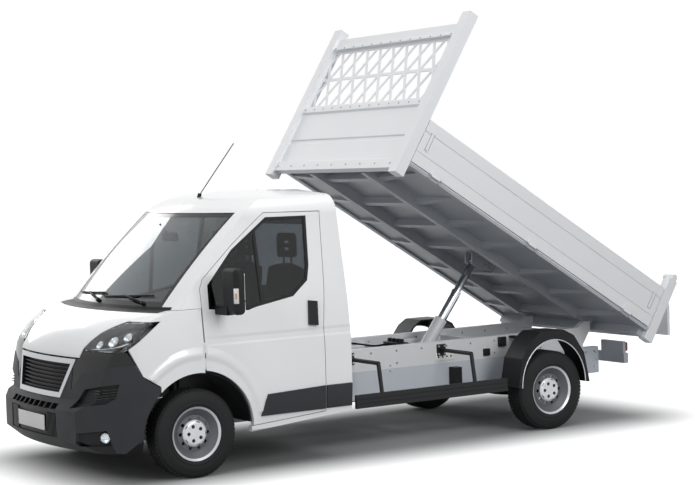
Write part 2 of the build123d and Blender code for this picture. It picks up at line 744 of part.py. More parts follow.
with BuildPart() as rear_axle:
    rod_between((REAR_AXLE, -760, 305), (REAR_AXLE, 760, 305), 42)
    for sign in (-1, 1):
        hub_end = TRACK_REAR / 2 + 65
        rod_between((REAR_AXLE, sign * 690, AXLE_Z), (REAR_AXLE, sign * hub_end, AXLE_Z), HUB_RADIUS)
        block(-3500, -3400, min(sign * 690, sign * 760), max(sign * 690, sign * 760), 260, 392)
        y_from, y_to = sorted((sign * 470, sign * 540))
        with BuildSketch(side(y_to)):
            with BuildLine():
                ThreePointArc((-2780, 430), (REAR_AXLE, 265), (-4120, 430))
                ThreePointArc((-4120, 445), (REAR_AXLE, 297), (-2780, 445))
                Line((-2780, 430), (-2780, 445))
                Line((-4120, 430), (-4120, 445))
            make_face()
        extrude(amount=y_to - y_from)
        block(-2830, -2760, min(sign * 450, sign * 545), max(sign * 450, sign * 545), 400, 560)
        block(-4150, -4090, min(sign * 450, sign * 545), max(sign * 450, sign * 545), 400, 560)
rear_axle.part.label = "rear_axle"

with BuildPart() as engine:
    block(245, 600, -340, 340, 430, 1020)
    block(640, 690, -400, 400, 400, 900)
    block(380, 440, -RAIL_OUTSIDE + 10, RAIL_OUTSIDE - 10, 400, 440)
    block(20, 246, -200, 250, 320, 600)
    block(599, 641, -120, 120, 700, 780)
engine.part.label = "engine"

with BuildPart() as fuel_tank:
    block(-2450, -1800, -860, -450, 400, 640)
    fillet(fuel_tank.edges().filter_by(Axis.X).group_by(Axis.Y)[0], 50)
fuel_tank.part.label = "fuel_tank"

with BuildPart() as exhaust:
    rod_between((-120, -300, 250), (-1500, -300, 260), 28)
    rod_between((-1500, -300, 260), (-2100, -300, 260), 75)
    rod_between((-2100, -300, 260), (-3000, -300, 260), 28)
    for x in (-1460, -2250):
        rod_between((x, -300, 270), (x, -300, 380), 7)
exhaust.part.label = "exhaust"

with BuildPart() as hydraulic_pack:
    block(-2050, -1560, -438, 438, 562, 578)
    rod_between((-1680, -60, 690), (-1680, 190, 690), 68)
    block(-1760, -1600, -220, -60, 578, 800)
    block(-2030, -1830, -250, 250, 578, 790)
    block(-1700, -1660, 0, 100, 578, 640)
hydraulic_pack.part.label = "hydraulic_pack"

with BuildPart() as side_guards:
    for sign in (-1, 1):
        y_from, y_to = sorted((sign * 940, sign * 965))
        block(-3000, -1470, y_from, y_to, 375, 485)
        outer_from, outer_to = sorted((sign * 960, sign * 965))
        for z in (408, 444):
            block(-3000, -1470, outer_from, outer_to, z, z + 8, mode=Mode.SUBTRACT)
        for x in (-1740, -2680):
            rod_between((x, sign * RAIL_OUTSIDE, BRACKET_Z), (x, sign * 890, BRACKET_Z), 17)
            with Locations((FRONT_AXLE_X + x, sign * 890, BRACKET_Z)):
                Sphere(17)
            rod_between((x, sign * 890, BRACKET_Z), (x, sign * 941, 430), 17)
            y_from, y_to = sorted((sign * RAIL_OUTSIDE, sign * (RAIL_OUTSIDE + 10)))
            block(x - 45, x + 45, y_from, y_to, BRACKET_Z - 50, BRACKET_Z + 50)
side_guards.part.label = "side_guards"

GUARD_OUTSIDE = [(-3070, 396), (-3120, 640), (-3240, 800), (-3330, 855), (-3580, 855)]
GUARD_OUTSIDE += [(-3690, 800), (-3800, 640), (-3854, 382)]
with BuildPart() as mudguards:
    for sign in (-1, 1):
        y_from, y_to = sorted((sign * 770, sign * 1020))
        with BuildSketch(side(y_to)):
            with BuildLine():
                inner = [(-3836, 382), (-3783, 632), (-3678, 786), (-3574, 839), (-3336, 839)]
                inner += [(-3250, 786), (-3137, 632), (-3088, 396)]
                Polyline(*GUARD_OUTSIDE, *inner, close=True)
            make_face()
        extrude(amount=y_to - y_from)
        block(-3480, -3420, min(sign * 450, sign * 775), max(sign * 450, sign * 775), 760, 780)
        block(-3480, -3420, min(sign * 766, sign * 786), max(sign * 766, sign * 786), 760, 845)
mudguards.part.label = "mudguards"

with BuildPart() as rear_crossbar:
    block(-4500, RAIL_REAR, -800, 800, 470, 560)
    for sign in (-1, 1):
        y_from, y_to = sorted((sign * 490, sign * 790))
        block(-4480, RAIL_REAR, y_from, y_to, 560, 665)
rear_crossbar.part.label = "rear_crossbar"

with BuildPart() as rear_lamps:
    for sign in (-1, 1):
        y_from, y_to = sorted((sign * 510, sign * 770))
        block(-4530, -4480, y_from, y_to, 570, 655)
rear_lamps.part.label = "rear_lamps"

# The bed, drawn along its own tipped planes
with BuildPart() as bed_floor:
    bed_block(BED_REAR, BED_FRONT, -1012, 1012, 90, BED_FLOOR_TOP)
bed_floor.part.label = "bed_floor"

with BuildPart() as bed_frame:
    for sign in (-1, 1):
        y_from, y_to = sorted((sign * 384, sign * 446))
        bed_block(150, BED_FRONT, y_from, y_to, 0, 90)
        y_from, y_to = sorted((sign * 980, sign * 1046))
        bed_block(BED_REAR, BED_FRONT, y_from, y_to, 72, 90)
        y_from, y_to = sorted((sign * 1014, sign * 1046))
        bed_block(BED_REAR, BED_FRONT, y_from, y_to, 72, 100)
        y_from, y_to = sorted((sign * 408, sign * 422))
        with BuildSketch(bed_side(y_to)):
            with BuildLine():
                Polyline((-60, 90), (-38, 0), (-38, -34), (38, -34), (60, 20), (170, 20), (170, 90),
                         close=True)
            make_face()
            Circle(15, mode=Mode.SUBTRACT)
        extrude(amount=y_to - y_from)
    for u in BEARERS:
        with BuildSketch(bed_front(u - 25)):
            with BuildLine():
                Polyline((-1000, 90), (-1000, 76), (-600, 50), (-446, 30), (446, 30), (600, 50),
                         (1000, 76), (1000, 90), close=True)
            make_face()
        extrude(amount=50)
    bed_block(BED_REAR, BED_REAR + 60, -1000, 1000, 10, 90)
    for sign in (-1, 1):
        for u in HINGES:
            for start in (u - 70, u + 46):
                hinge_knuckle(start, 24, sign)
                y_from, y_to = sorted((sign * 1040, sign * HINGE_Y))
                bed_block(start, start + 24, y_from, y_to, 74, HINGE_W)
    for sign in (-1, 1):
        y_from, y_to = sorted((sign * 41, sign * 57))
        with BuildSketch(bed_side(y_to)):
            with BuildLine():
                Polyline((RAM_EYE_U - 200, 90), (RAM_EYE_U - 190, 40), (RAM_EYE_U - 45, 0),
                         (RAM_EYE_U + 45, 0), (RAM_EYE_U + 90, 90), close=True)
            make_face()
            for place in (-150, -95):
                with Locations((RAM_EYE_U + place, 64)):
                    Circle(14, mode=Mode.SUBTRACT)
        extrude(amount=y_to - y_from)
    bed_block(905, 1405, -80, 80, 84, 90)
bed_frame.part.label = "bed_frame"

with BuildPart() as headboard:
    for sign in (-1, 1):
        y_from, y_to = sorted((sign * 940, sign * BED_HALF_WIDTH))
        bed_block(BED_FRONT, 2880, y_from, y_to, -40, HEADBOARD_TOP)
    with BuildSketch(bed_side(945)):
        with BuildLine():
            back = BED_FRONT + 20
            face = [(2870, 2), (2870, 88), (2852, 100), (2852, 282), (2842, 292), (2842, 318)]
            face += [(2852, 328), (2852, 588), (2868, 604), (2868, SCREEN_LOW), (back, SCREEN_LOW)]
            Polyline((back, 2), *face, close=True)
        make_face()
        with BuildLine():
            face = [(2866, SCREEN_TOP), (2866, 1300), (2852, 1312), (2852, BAND_TOP)]
            Polyline((back, SCREEN_TOP), *face, (back, BAND_TOP), close=True)
        make_face()
    extrude(amount=2 * 945)
headboard.part.label = "headboard"

with BuildPart() as headboard_screen:
    middle = (SCREEN_LOW + SCREEN_TOP) / 2
    tall = SCREEN_TOP - SCREEN_LOW
    with BuildSketch(bed_front(BED_FRONT + 40)) as lattice:
        for slant in (-LATTICE_SLANT, LATTICE_SLANT):
            with Locations((0, middle)):
                with GridLocations(LATTICE_PITCH, 1, 13, 1):
                    Rectangle(LATTICE_BAR, 2 * tall, rotation=slant)
        with Locations((0, middle)):
            Rectangle(1880, tall, mode=Mode.INTERSECT)
            Rectangle(1880, LATTICE_BAR)
    with BuildSketch(bed_front(BED_FRONT + 40)) as border:
        with Locations((0, middle)):
            Rectangle(1880, tall)
            Rectangle(1880 - 2 * LATTICE_BAR, tall - 2 * LATTICE_BAR, mode=Mode.SUBTRACT)
    extrude(lattice.sketch, amount=6)
    extrude(border.sketch, amount=6)
headboard_screen.part.label = "headboard_screen"

with BuildPart() as rear_posts:
    for sign in (-1, 1):
        y_from, y_to = sorted((sign * 962, sign * BED_HALF_WIDTH))
        bed_block(-270, -178, y_from, y_to, 0, 612)
        with BuildSketch(bed_side(y_to)):
            with Locations((TAILGATE_PIN_U, TAILGATE_PIN_W)):
                Circle(28)
            with Locations((TAILGATE_PIN_U, TAILGATE_PIN_W - 30)):
                Rectangle(56, 60)
        extrude(amount=y_to - y_from)
        with BuildSketch(bed_side(max(sign * 912, sign * 970))):
            with Locations((TAILGATE_PIN_U, TAILGATE_PIN_W)):
                Circle(11)
        extrude(amount=58)
        y_from, y_to = sorted((sign * 962, sign * 1046))
        bed_block(-180, BED_REAR, y_from, y_to, 10, 88)
rear_posts.part.label = "rear_posts"

for side_name, sign in (("left", 1), ("right", -1)):
    with BuildPart() as dropside:
        y_from, y_to = sorted((sign * (BED_HALF_WIDTH - DROPSIDE_THICK), sign * BED_HALF_WIDTH))
        low = BED_FLOOR_TOP + 3
        bed_block(BED_REAR + 6, BED_FRONT - 5, y_from, y_to, low, low + DROPSIDE_HEIGHT)
        y_from, y_to = sorted((sign * (BED_HALF_WIDTH - GROOVE_DEPTH), sign * BED_HALF_WIDTH))
        for w, tall in ((95, 8), (258, 30)):
            bed_block(BED_REAR, BED_FRONT, y_from, y_to, low + w, low + w + tall, mode=Mode.SUBTRACT)
        y_from, y_to = sorted((sign * (BED_HALF_WIDTH - 14), sign * BED_HALF_WIDTH))
        for u in (BED_REAR + 90, BED_FRONT - 90):
            bed_block(u - 22, u + 22, y_from, y_to, low + 130, low + 300, mode=Mode.SUBTRACT)
            bed_block(u - 12, u + 12, y_from, y_to, low + 150, low + 310)
        for u in HINGES:
            hinge_knuckle(u - 45, 90, sign)
            y_from, y_to = sorted((sign * (BED_HALF_WIDTH - 1), sign * HINGE_Y))
            bed_block(u - 45, u + 45, y_from, y_to, HINGE_W, HINGE_W + 60)
    dropside.part.label = "dropside_" + side_name
    export_step(dropside.part, "parts/dropside_" + side_name + ".step")

pin_x, pin_z = on_bed(TAILGATE_PIN_U, TAILGATE_PIN_W)
pin_x -= FRONT_AXLE_X
with BuildPart() as tailgate:
    block(pin_x - 14, pin_x + 14, -952, 952, pin_z - 525, pin_z - 120)
    for z, tall in ((-400, 8), (-250, 30)):
        block(pin_x - 14, pin_x - 14 + GROOVE_DEPTH, -952, 952, pin_z + z, pin_z + z + tall,
              mode=Mode.SUBTRACT)
    for sign in (-1, 1):
        y_from, y_to = sorted((sign * 918, sign * 952))
        block(pin_x - 14, pin_x + 14, y_from, y_to, pin_z - 121, pin_z)
        with BuildSketch(side(y_to)):
            with Locations((pin_x, pin_z)):
                Circle(26)
        extrude(amount=y_to - y_from)
    with BuildSketch(side(1000)):
        with Locations((pin_x, pin_z)):
            Circle(12)
    extrude(amount=2000, mode=Mode.SUBTRACT)
tailgate.part.label = "tailgate"

# The ram under the bed: a barrel on trunnions, a hollow stage and a rod with an eye
eye_x, eye_z = on_bed(RAM_EYE_U, RAM_EYE_W)
ram_span = Vector(eye_x - FRONT_AXLE_X - RAM_FOOT_X, 0, eye_z - RAM_FOOT_Z)
RAM = Plane(
    origin=(FRONT_AXLE_X + RAM_FOOT_X, 0, RAM_FOOT_Z), x_dir=(0, 1, 0), z_dir=ram_span
)
RAM_LENGTH = ram_span.length
with BuildPart() as ram_barrel:
    with BuildSketch(RAM.offset(-350)):
        Circle(58)
        Circle(47, mode=Mode.SUBTRACT)
    extrude(amount=650)
    with BuildSketch(RAM.offset(-350)):
        Circle(58)
    extrude(amount=-20)
    rod_between((RAM_FOOT_X, -270, RAM_FOOT_Z), (RAM_FOOT_X, -52, RAM_FOOT_Z), 28)
    rod_between((RAM_FOOT_X, 52, RAM_FOOT_Z), (RAM_FOOT_X, 270, RAM_FOOT_Z), 28)
ram_barrel.part.label = "ram_barrel"

with BuildPart() as ram_stage:
    with BuildSketch(RAM.offset(0)):
        Circle(46)
        Circle(35, mode=Mode.SUBTRACT)
    extrude(amount=600)
ram_stage.part.label = "ram_stage"

with BuildPart() as ram_rod:
    with BuildSketch(RAM.offset(RAM_LENGTH - 640)):
        Circle(34)
    extrude(amount=620)
    with BuildSketch(side(40)):
        with Locations((eye_x - FRONT_AXLE_X, eye_z)):
            Circle(34)
    extrude(amount=80)
ram_rod.part.label = "ram_rod"

# Wheels
WHEELS = (
    # name, x from the front axle, half the track, which side
    ("fl", 0.0, TRACK_FRONT / 2, 1),
    ("fr", 0.0, TRACK_FRONT / 2, -1),
    ("rl", REAR_AXLE, TRACK_REAR / 2, 1),
    ("rr", REAR_AXLE, TRACK_REAR / 2, -1),
)
RIM_PROFILE = [(78, 0), (78, 68), (56, 84), (52, 140), (92, 190), (103, 207), (92, 199)]
RIM_PROFILE += [(-92, 199), (-103, 207), (-98, 190), (46, 178), (44, 82), (30, 60)]
RIM_PROFILE += [(30, HUB_RADIUS + 0.1), (66, HUB_RADIUS + 0.1), (66, 0)]
TYRE_BORE = 200.0
HALF_TYRE = [(TYRE_WIDTH / 2 - 27, AXLE_Z), (TYRE_WIDTH / 2 - 4, 300), (TYRE_WIDTH / 2, 245)]
HALF_TYRE += [(TYRE_WIDTH / 2 - 16, TYRE_BORE + 1)]
TYRE_PROFILE = [(-out, radius) for out, radius in reversed(HALF_TYRE)] + HALF_TYRE


def wheel_plane(x, y, sign):
    """Across a wheel: local x outward along its axle, local y up."""
    place = (FRONT_AXLE_X + x, sign * y, AXLE_Z)
    return Plane(origin=place, x_dir=(0, sign, 0), z_dir=(sign, 0, 0))


for name, x, y, sign in WHEELS:
    axle = Axis((FRONT_AXLE_X + x, sign * y, AXLE_Z), (0, 1, 0))
    face = Plane(origin=(FRONT_AXLE_X + x, sign * y, AXLE_Z), x_dir=(1, 0, 0), z_dir=(0, sign, 0))
    with BuildPart() as rim:
        with BuildSketch(wheel_plane(x, y, sign)):
            with BuildLine():
                Polyline(*RIM_PROFILE, close=True)
            make_face()
        revolve(axis=axle)
        with BuildSketch(face.offset(30)):
            with PolarLocations(116, 10):
                Circle(14)
        extrude(amount=60, mode=Mode.SUBTRACT)
        with BuildSketch(face.offset(48)):
            with PolarLocations(LUG_CIRCLE / 2, 5):
                Circle(11)
        extrude(amount=40, mode=Mode.SUBTRACT)
    rim.part.label = "rim_" + name
    export_step(rim.part, "parts/rim_" + name + ".step")
    with BuildPart() as tyre:
        for out, radius in TYRE_PROFILE:
            with BuildSketch(face.offset(out)):
                RegularPolygon(radius, TYRE_SIDES, rotation=90)
        loft(ruled=True)
        with BuildSketch(face.offset(-TYRE_WIDTH)):
            RegularPolygon(TYRE_BORE, TYRE_SIDES, rotation=90)
        extrude(amount=2 * TYRE_WIDTH, mode=Mode.SUBTRACT)
    tyre.part.label = "tyre_" + name
    export_step(tyre.part, "parts/tyre_" + name + ".step")

for side_name, sign in (("left", 1), ("right", -1)):
    with BuildPart() as knuckle:
        rod_between((0, sign * KINGPIN_Y, AXLE_Z), (0, sign * (TRACK_FRONT / 2 + 65), AXLE_Z), HUB_RADIUS)
        rod_between((0, sign * KINGPIN_Y, 250), (0, sign * KINGPIN_Y, 450), 34)
    knuckle.part.label = "knuckle_" + side_name
    export_step(knuckle.part, "parts/knuckle_" + side_name + ".step")

SPARE_PROFILE = [(195, -70), (240, -85), (310, -80), (330, -55)]
SPARE_PROFILE += [(330, 55), (310, 80), (240, 85), (195, 70)]
SPARE = Plane(origin=(FRONT_AXLE_X - 4060, 0, 295), x_dir=(1, 0, 0), z_dir=(0, -1, 0))
with BuildPart() as spare_wheel:
    with BuildSketch(SPARE):
        with BuildLine():
            Polyline(*SPARE_PROFILE, close=True)
        make_face()
        with Locations((100, 0)):
            Rectangle(200, 20)
    revolve(axis=Axis(SPARE.origin, (0, 0, 1)))
spare_wheel.part.label = "spare_wheel"

SINGLES = [roof, cab_sides, cab_back, rear_window, bonnet, scuttle, front_wings, front_lamps]
SINGLES += [windscreen, bumper, arch_liners, cab_floor, seats, dashboard, steering_wheel, grille, wipers]
SINGLES += [aerial, chassis_frame, tipper_subframe, front_suspension, rear_axle, engine]
SINGLES += [fuel_tank, exhaust, hydraulic_pack, side_guards, mudguards, rear_crossbar]
SINGLES += [rear_lamps, bed_floor, bed_frame, headboard, headboard_screen, rear_posts, tailgate]
SINGLES += [ram_barrel, ram_stage, ram_rod, spare_wheel]
for piece in SINGLES:
    export_step(piece.part, "parts/" + piece.part.label + ".step")
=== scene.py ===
# %% [markdown]
# This lesson dresses a light tipper truck. The truck's solids come from its construction model,
# already in place and in metres, so the first step loads them. Everything that is made later lies on
# them or close to them. Places on the truck are easiest to say in millimetres from the front axle, and
# places on the tipped bed in millimetres from the pin it tips on, so two small functions turn both into
# metres.

# %% Load the truck
import json
import math
import bmesh
import bpy
from mathutils import Matrix, Vector
from mathutils.bvhtree import BVHTree

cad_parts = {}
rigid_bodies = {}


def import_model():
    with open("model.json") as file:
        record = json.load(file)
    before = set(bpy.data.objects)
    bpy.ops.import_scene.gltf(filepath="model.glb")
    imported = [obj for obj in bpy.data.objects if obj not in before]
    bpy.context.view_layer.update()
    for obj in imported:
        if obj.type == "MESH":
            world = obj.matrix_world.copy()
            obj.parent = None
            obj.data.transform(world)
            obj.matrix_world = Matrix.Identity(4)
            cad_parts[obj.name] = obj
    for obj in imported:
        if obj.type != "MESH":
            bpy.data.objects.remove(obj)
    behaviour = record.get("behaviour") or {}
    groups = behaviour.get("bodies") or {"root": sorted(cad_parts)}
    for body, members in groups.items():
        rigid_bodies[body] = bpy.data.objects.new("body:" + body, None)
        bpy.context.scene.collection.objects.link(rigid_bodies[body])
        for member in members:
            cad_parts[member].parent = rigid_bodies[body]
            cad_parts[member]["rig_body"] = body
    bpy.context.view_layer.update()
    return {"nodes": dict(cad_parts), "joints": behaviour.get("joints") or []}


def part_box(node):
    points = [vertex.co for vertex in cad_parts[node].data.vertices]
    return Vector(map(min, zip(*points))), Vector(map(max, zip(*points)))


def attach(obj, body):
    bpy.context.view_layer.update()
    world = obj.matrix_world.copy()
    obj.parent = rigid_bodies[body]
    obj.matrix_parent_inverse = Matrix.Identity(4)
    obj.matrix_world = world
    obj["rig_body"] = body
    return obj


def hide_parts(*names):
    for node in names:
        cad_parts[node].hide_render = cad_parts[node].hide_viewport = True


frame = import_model()
NODES = frame["nodes"]
MM = 0.001
LEFT, RIGHT, BACK = Vector((0, 1, 0)), Vector((0, -1, 0)), Vector((-1, 0, 0))
AXLE_X = sum(corner.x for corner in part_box("rim_fl")) / 2
PIVOT = Vector(next(joint["pos_m"] for joint in frame["joints"] if joint["name"] == "bed_tip"))
TIP = math.radians(31.6)
BED_AHEAD = Vector((math.cos(TIP), 0, math.sin(TIP)))
BED_UP = Vector((-math.sin(TIP), 0, math.cos(TIP)))


def spot(x, y, z):
    """A place in metres, from millimetres ahead of the front axle, to the left and up."""
    return Vector((AXLE_X + x * MM, y * MM, z * MM))


def on_bed(u, y, w):
    """A place on the bed: u ahead of its pivot, y to the left, and w square to its floor."""
    return PIVOT + (BED_AHEAD * u + BED_UP * w) * MM + Vector((0, y * MM, 0))


# %% [markdown]
# The camera stands to the front left of the truck, low, with a long lens. Its place was worked out
# once from the wheels and the cab in the picture: yaw and pitch say where it looks, and a small roll
# tilts it. A camera looks along its own -Z, so the matrix holds right, up and backwards. One small
# function puts the camera, and every later object, in the scene.

# %% Camera
CAMERA_PLACE = spot(6179, 12908, 2356)
YAW, PITCH, ROLL = (math.radians(v) for v in (237.49, -2.58, -1.85))
FOCAL_PIXELS, IMAGE_WIDTH, SENSOR = 1775.0, 695.0, 36.0
FARTHEST = 200


def in_scene(name, data):
    """A new object in the scene that holds this data."""
    made = bpy.data.objects.new(name, data)
    bpy.context.scene.collection.objects.link(made)
    return made


ahead = Vector((math.cos(YAW) * math.cos(PITCH), math.sin(YAW) * math.cos(PITCH), math.sin(PITCH)))
level_right = ahead.cross(Vector((0, 0, 1))).normalized()
level_up = level_right.cross(ahead)
right = level_right * math.cos(ROLL) + level_up * math.sin(ROLL)
up = level_up * math.cos(ROLL) - level_right * math.sin(ROLL)
camera_data = bpy.data.cameras.new("camera")
camera_data.sensor_width = SENSOR
camera_data.lens = SENSOR * FOCAL_PIXELS / IMAGE_WIDTH
camera_data.clip_end = FARTHEST
camera = in_scene("camera", camera_data)
turn = Matrix((right, up, -ahead)).transposed()
camera.matrix_world = Matrix.Translation(CAMERA_PLACE) @ turn.to_4x4()
bpy.context.scene.camera = camera
bpy.context.scene.view_settings.view_transform = "Standard"
print("lens:", round(camera_data.lens, 1), "mm")

# %% [markdown]
# Colours are written as they look on a screen, in hex, and Blender works with linear light, so one
# function turns the first into the second. A second small function adds a node with its settings and
# links: a value that is a socket is linked, and anything else is set. A third starts an empty material.

# %% Colour and node helpers
def linear(code):
    """The linear colour of an sRGB hex code."""
    parts = [int(code[i:i + 2], 16) / 255 for i in (0, 2, 4)]
    return [c / 12.92 if c <= 0.04045 else ((c + 0.055) / 1.055) ** 2.4 for c in parts] + [1.0]


def add_node(tree, kind, inputs=None, **settings):
    """One node in the tree, with its settings, and its inputs set or linked."""
    made = tree.nodes.new(kind)
    for name, value in settings.items():
        setattr(made, name, value)
    for name, value in (inputs or {}).items():
        if isinstance(value, bpy.types.NodeSocket):
            tree.links.new(value, made.inputs[name])
        else:
            made.inputs[name].default_value = value
    return made


def new_material(name):
    """An empty material, and the tree that its nodes go in."""
    material = bpy.data.materials.new(name)
    material.use_nodes = True
    material.node_tree.nodes.clear()
    return material, material.node_tree


print("white in linear light:", [round(v, 2) for v in linear("FFFFFF")])

# %% [markdown]
# Most finishes on a truck are one colour that isn't quite even: enamel has a faint ripple, moulded
# plastic a fine grain, steel a cloudy tone. So one function makes a finish from two near colours in
# soft patches, a roughness that wanders a little, and a relief whose grain is a size in millimetres.
# A pressed sheet also has shapes that are too shallow to cut in the solid, and a function that gives
# their height in metres can be added. What holds all over the surface goes straight on the shader.

# %% Finishes
def finish(name, colour, shade, roughness, grain_mm, relief_mm, patch_mm, pressed=None, **shader):
    """A finish in soft patches of two colours, with a relief of one grain size."""
    material, tree = new_material(name)
    place = add_node(tree, "ShaderNodeTexCoord").outputs["Object"]
    patch = add_node(tree, "ShaderNodeTexNoise", {"Vector": place, "Scale": 1000 / patch_mm, "Detail": 4.0})
    tone = add_node(tree, "ShaderNodeMix", {0: patch.outputs["Fac"], 6: linear(colour), 7: linear(shade)},
                    data_type="RGBA")
    gloss = add_node(tree, "ShaderNodeMapRange", {"Value": patch.outputs["Fac"], "To Min": roughness * 0.8,
                                                  "To Max": min(1.0, roughness * 1.2)})
    grain = add_node(tree, "ShaderNodeTexNoise", {"Vector": place, "Scale": 1000 / grain_mm, "Detail": 2.0})
    relief = add_node(tree, "ShaderNodeBump", {"Height": grain.outputs["Fac"], "Strength": 0.5,
                                               "Distance": relief_mm * MM})
    if pressed:
        relief = add_node(tree, "ShaderNodeBump", {"Height": pressed(tree, place), "Strength": 1.0,
                                                   "Distance": 1.0, "Normal": relief.outputs["Normal"]})
    body = add_node(tree, "ShaderNodeBsdfPrincipled", {"Base Color": tone.outputs[2],
                                                       "Roughness": gloss.outputs["Result"],
                                                       "Normal": relief.outputs["Normal"]})
    for socket, value in shader.items():
        body.inputs[socket.replace("_", " ")].default_value = value
    add_node(tree, "ShaderNodeOutputMaterial", {"Surface": body.outputs["BSDF"]})
    return material


def soft_step(tree, value, start, end, low, high):
    """A value that goes smoothly from low to high as another goes from start to end."""
    ramp = add_node(tree, "ShaderNodeMapRange", {"Value": value, "From Min": start, "From Max": end,
                                                 "To Min": low, "To Max": high},
                    interpolation_type="SMOOTHSTEP")
    return ramp.outputs["Result"]


# The door's channel, in metres: its lower and upper wall, its depth, and how far it takes to fade out.
CHANNEL_FOOT, CHANNEL_TOP, CHANNEL_DEEP, CHANNEL_FADE = (0.995, 1.015), (1.045, 1.075), 0.005, 0.30


def door_pressings(tree, place):
    """The height of the channel along the door, which fades out towards the front."""
    axes = add_node(tree, "ShaderNodeSeparateXYZ", {"Vector": place}).outputs
    below = soft_step(tree, axes["Z"], *CHANNEL_FOOT, 0.0, -CHANNEL_DEEP)
    above = soft_step(tree, axes["Z"], *CHANNEL_TOP, 0.0, CHANNEL_DEEP)
    channel = add_node(tree, "ShaderNodeMath", {0: below, 1: above}, operation="ADD").outputs[0]
    behind = soft_step(tree, axes["X"], AXLE_X - CHANNEL_FADE, AXLE_X, 1.0, 0.0)
    return add_node(tree, "ShaderNodeMath", {0: channel, 1: behind}, operation="MULTIPLY").outputs[0]


print("makers of finishes: finish, soft_step, door_pressings")

# %% [markdown]
# These are the truck's own paints, plastics, metals and rubbers. Each starts from what the real material is
# and how its surface was made, and the comment says what that gives the eye. Real grain is often finer than a
# millimetre, and here it is drawn coarser, so that it shows. After its name, each finish gives its colour,
# shade and roughness, and then its grain, relief and patch in millimetres.

# %% Paints, plastics, metals and rubber
# Acrylic enamel over primer, sprayed and polished: a hard white gloss with a faint orange peel.
ENAMEL = ("F1F2F3", "ECEEF0", 0.22, 6, 0.02, 900)
white_enamel = finish("white_acrylic_enamel", *ENAMEL, Coat_Weight=0.6, Coat_Roughness=0.05)
side_enamel = finish("white_enamel_on_pressed_steel", *ENAMEL, pressed=door_pressings, Coat_Weight=0.6,
                     Coat_Roughness=0.05)
# Powder coat on the bed's steel: satin, a little greyer, with a baked texture.
bed_coat = finish("pale_powder_coat", "EAECEE", "E4E6E9", 0.42, 5, 0.05, 700)
# The same coat on the underside, in a plain grey that is painted shade.
painted_shade_coat = finish("grey_powder_coat_with_painted_shade", "AEB2B8", "A3A8AF", 0.45, 5, 0.06, 500)
# Cold-dip primer on the chassis rails: bluish grey, flat.
rail_coat = finish("grey_dip_primer", "CDD3DA", "C1C8D1", 0.5, 8, 0.06, 400)
# The tipper's own subframe, sprayed near white.
subframe_coat = finish("subframe_enamel", "E6E7E9", "DCDEE1", 0.4, 6, 0.05, 500)
# Polypropylene moulded in a grained tool: dark, matt, with a leathery grain.
bumper_plastic = finish("grained_polypropylene", "36373A", "2E2F32", 0.55, 3, 0.25, 250,
                        Specular_IOR_Level=0.2)
trim_plastic = finish("moulded_trim_polypropylene", "141517", "101113", 0.5, 3, 0.2, 250,
                      Specular_IOR_Level=0.2)
# ABS moulded in a polished tool: black and shiny.
gloss_plastic = finish("black_gloss_abs", "0B0C0D", "0F1012", 0.15, 8, 0.01, 400, Specular_IOR_Level=0.35)
# Powder coat on brackets and guards: black, satin, with a fine baked texture.
black_steel = finish("black_powder_coated_steel", "131416", "1A1B1D", 0.45, 5, 0.08, 200,
                     Specular_IOR_Level=0.25)
# Iron cast in sand: dark, rough and cloudy.
cast_metal = finish("cast_iron", "3A3B3D", "2C2D2F", 0.65, 4, 0.3, 120, Metallic=0.6)
# Chrome plate on ABS with a satin surface: bright, with soft reflections.
silver_trim = finish("satin_chromed_abs", "C2C4C7", "B6B9BD", 0.25, 10, 0.01, 300, Metallic=0.9)
# Lacquer over a rolled steel wheel: bright on the flange, and a grey copy on the dished disc that is painted
# shade.
wheel_lacquer = finish("silver_wheel_lacquer", "C4C7CB", "B9BCC1", 0.32, 4, 0.03, 150, Metallic=0.6)
grey_lacquer_and_disc_shade = finish("grey_lacquer_with_painted_disc_shade", "5C5F63", "515458", 0.45, 4, 0.03, 150, Metallic=0.3)
# The same lacquer in a paler tone, on the hub caps, which is a painted highlight.
pale_lacquer_and_cap_highlight = finish("pale_lacquer_with_painted_cap_highlight", "DDDFE1", "D2D4D7", 0.3, 6, 0.02, 150, Metallic=0.3)
# Zinc plate on bolts: a pale metal, a little dull, in small cloudy patches.
zinc_plate = finish("zinc_plated_steel", "B3B5B6", "A2A4A4", 0.35, 3, 0.02, 20, Metallic=0.9)
# Hard chrome on the ram, ground and polished: a bright metal with clear reflections.
hard_chrome = finish("hard_chrome_plate", "C9CCD0", "BFC3C8", 0.12, 20, 0.005, 300, Metallic=1.0)
# Silver behind flat glass: a clean mirror.
mirror_silver = finish("silvered_mirror_glass", "E4E7EA", "DFE3E6", 0.02, 60, 0.002, 300, Metallic=1.0)
# Woven polyester: dark and matt, with a soft sheen where it turns away.
seat_cloth = finish("woven_seat_polyester", "26272B", "1D1E22", 0.9, 4, 0.5, 60, Sheen_Weight=0.3)
# A vinyl skin cast in a hot mould: dark, matt and finely grained.
cabin_plastic = finish("slush_moulded_dashboard_skin", "242528", "1D1E21", 0.6, 3, 0.25, 200,
                       Specular_IOR_Level=0.25)
# Carbon black turns tyre rubber a dull near-black, a little dusty where it isn't scrubbed.
tyre_rubber = finish("carbon_black_tyre_rubber", "1D1E1F", "262728", 0.7, 5, 0.2, 150, Specular_IOR_Level=0.2)
# Rubber over a wire braid: black and dull.
hose_rubber = finish("braided_hose_rubber", "101112", "161718", 0.6, 3, 0.3, 60, Specular_IOR_Level=0.2)
# Acrylic moulded in colour, or clear with ribs: smooth and shiny.
lamp_red = finish("red_acrylic_lens", "A0100C", "8C0D0A", 0.12, 12, 0.02, 300, Coat_Weight=0.5)
lamp_amber = finish("amber_acrylic_lens", "D97A12", "C66D0C", 0.12, 12, 0.02, 300, Coat_Weight=0.5)
lamp_white = finish("clear_ribbed_acrylic_lens", "E4E2DD", "D6D4D0", 0.12, 8, 0.1, 100, Coat_Weight=0.5)
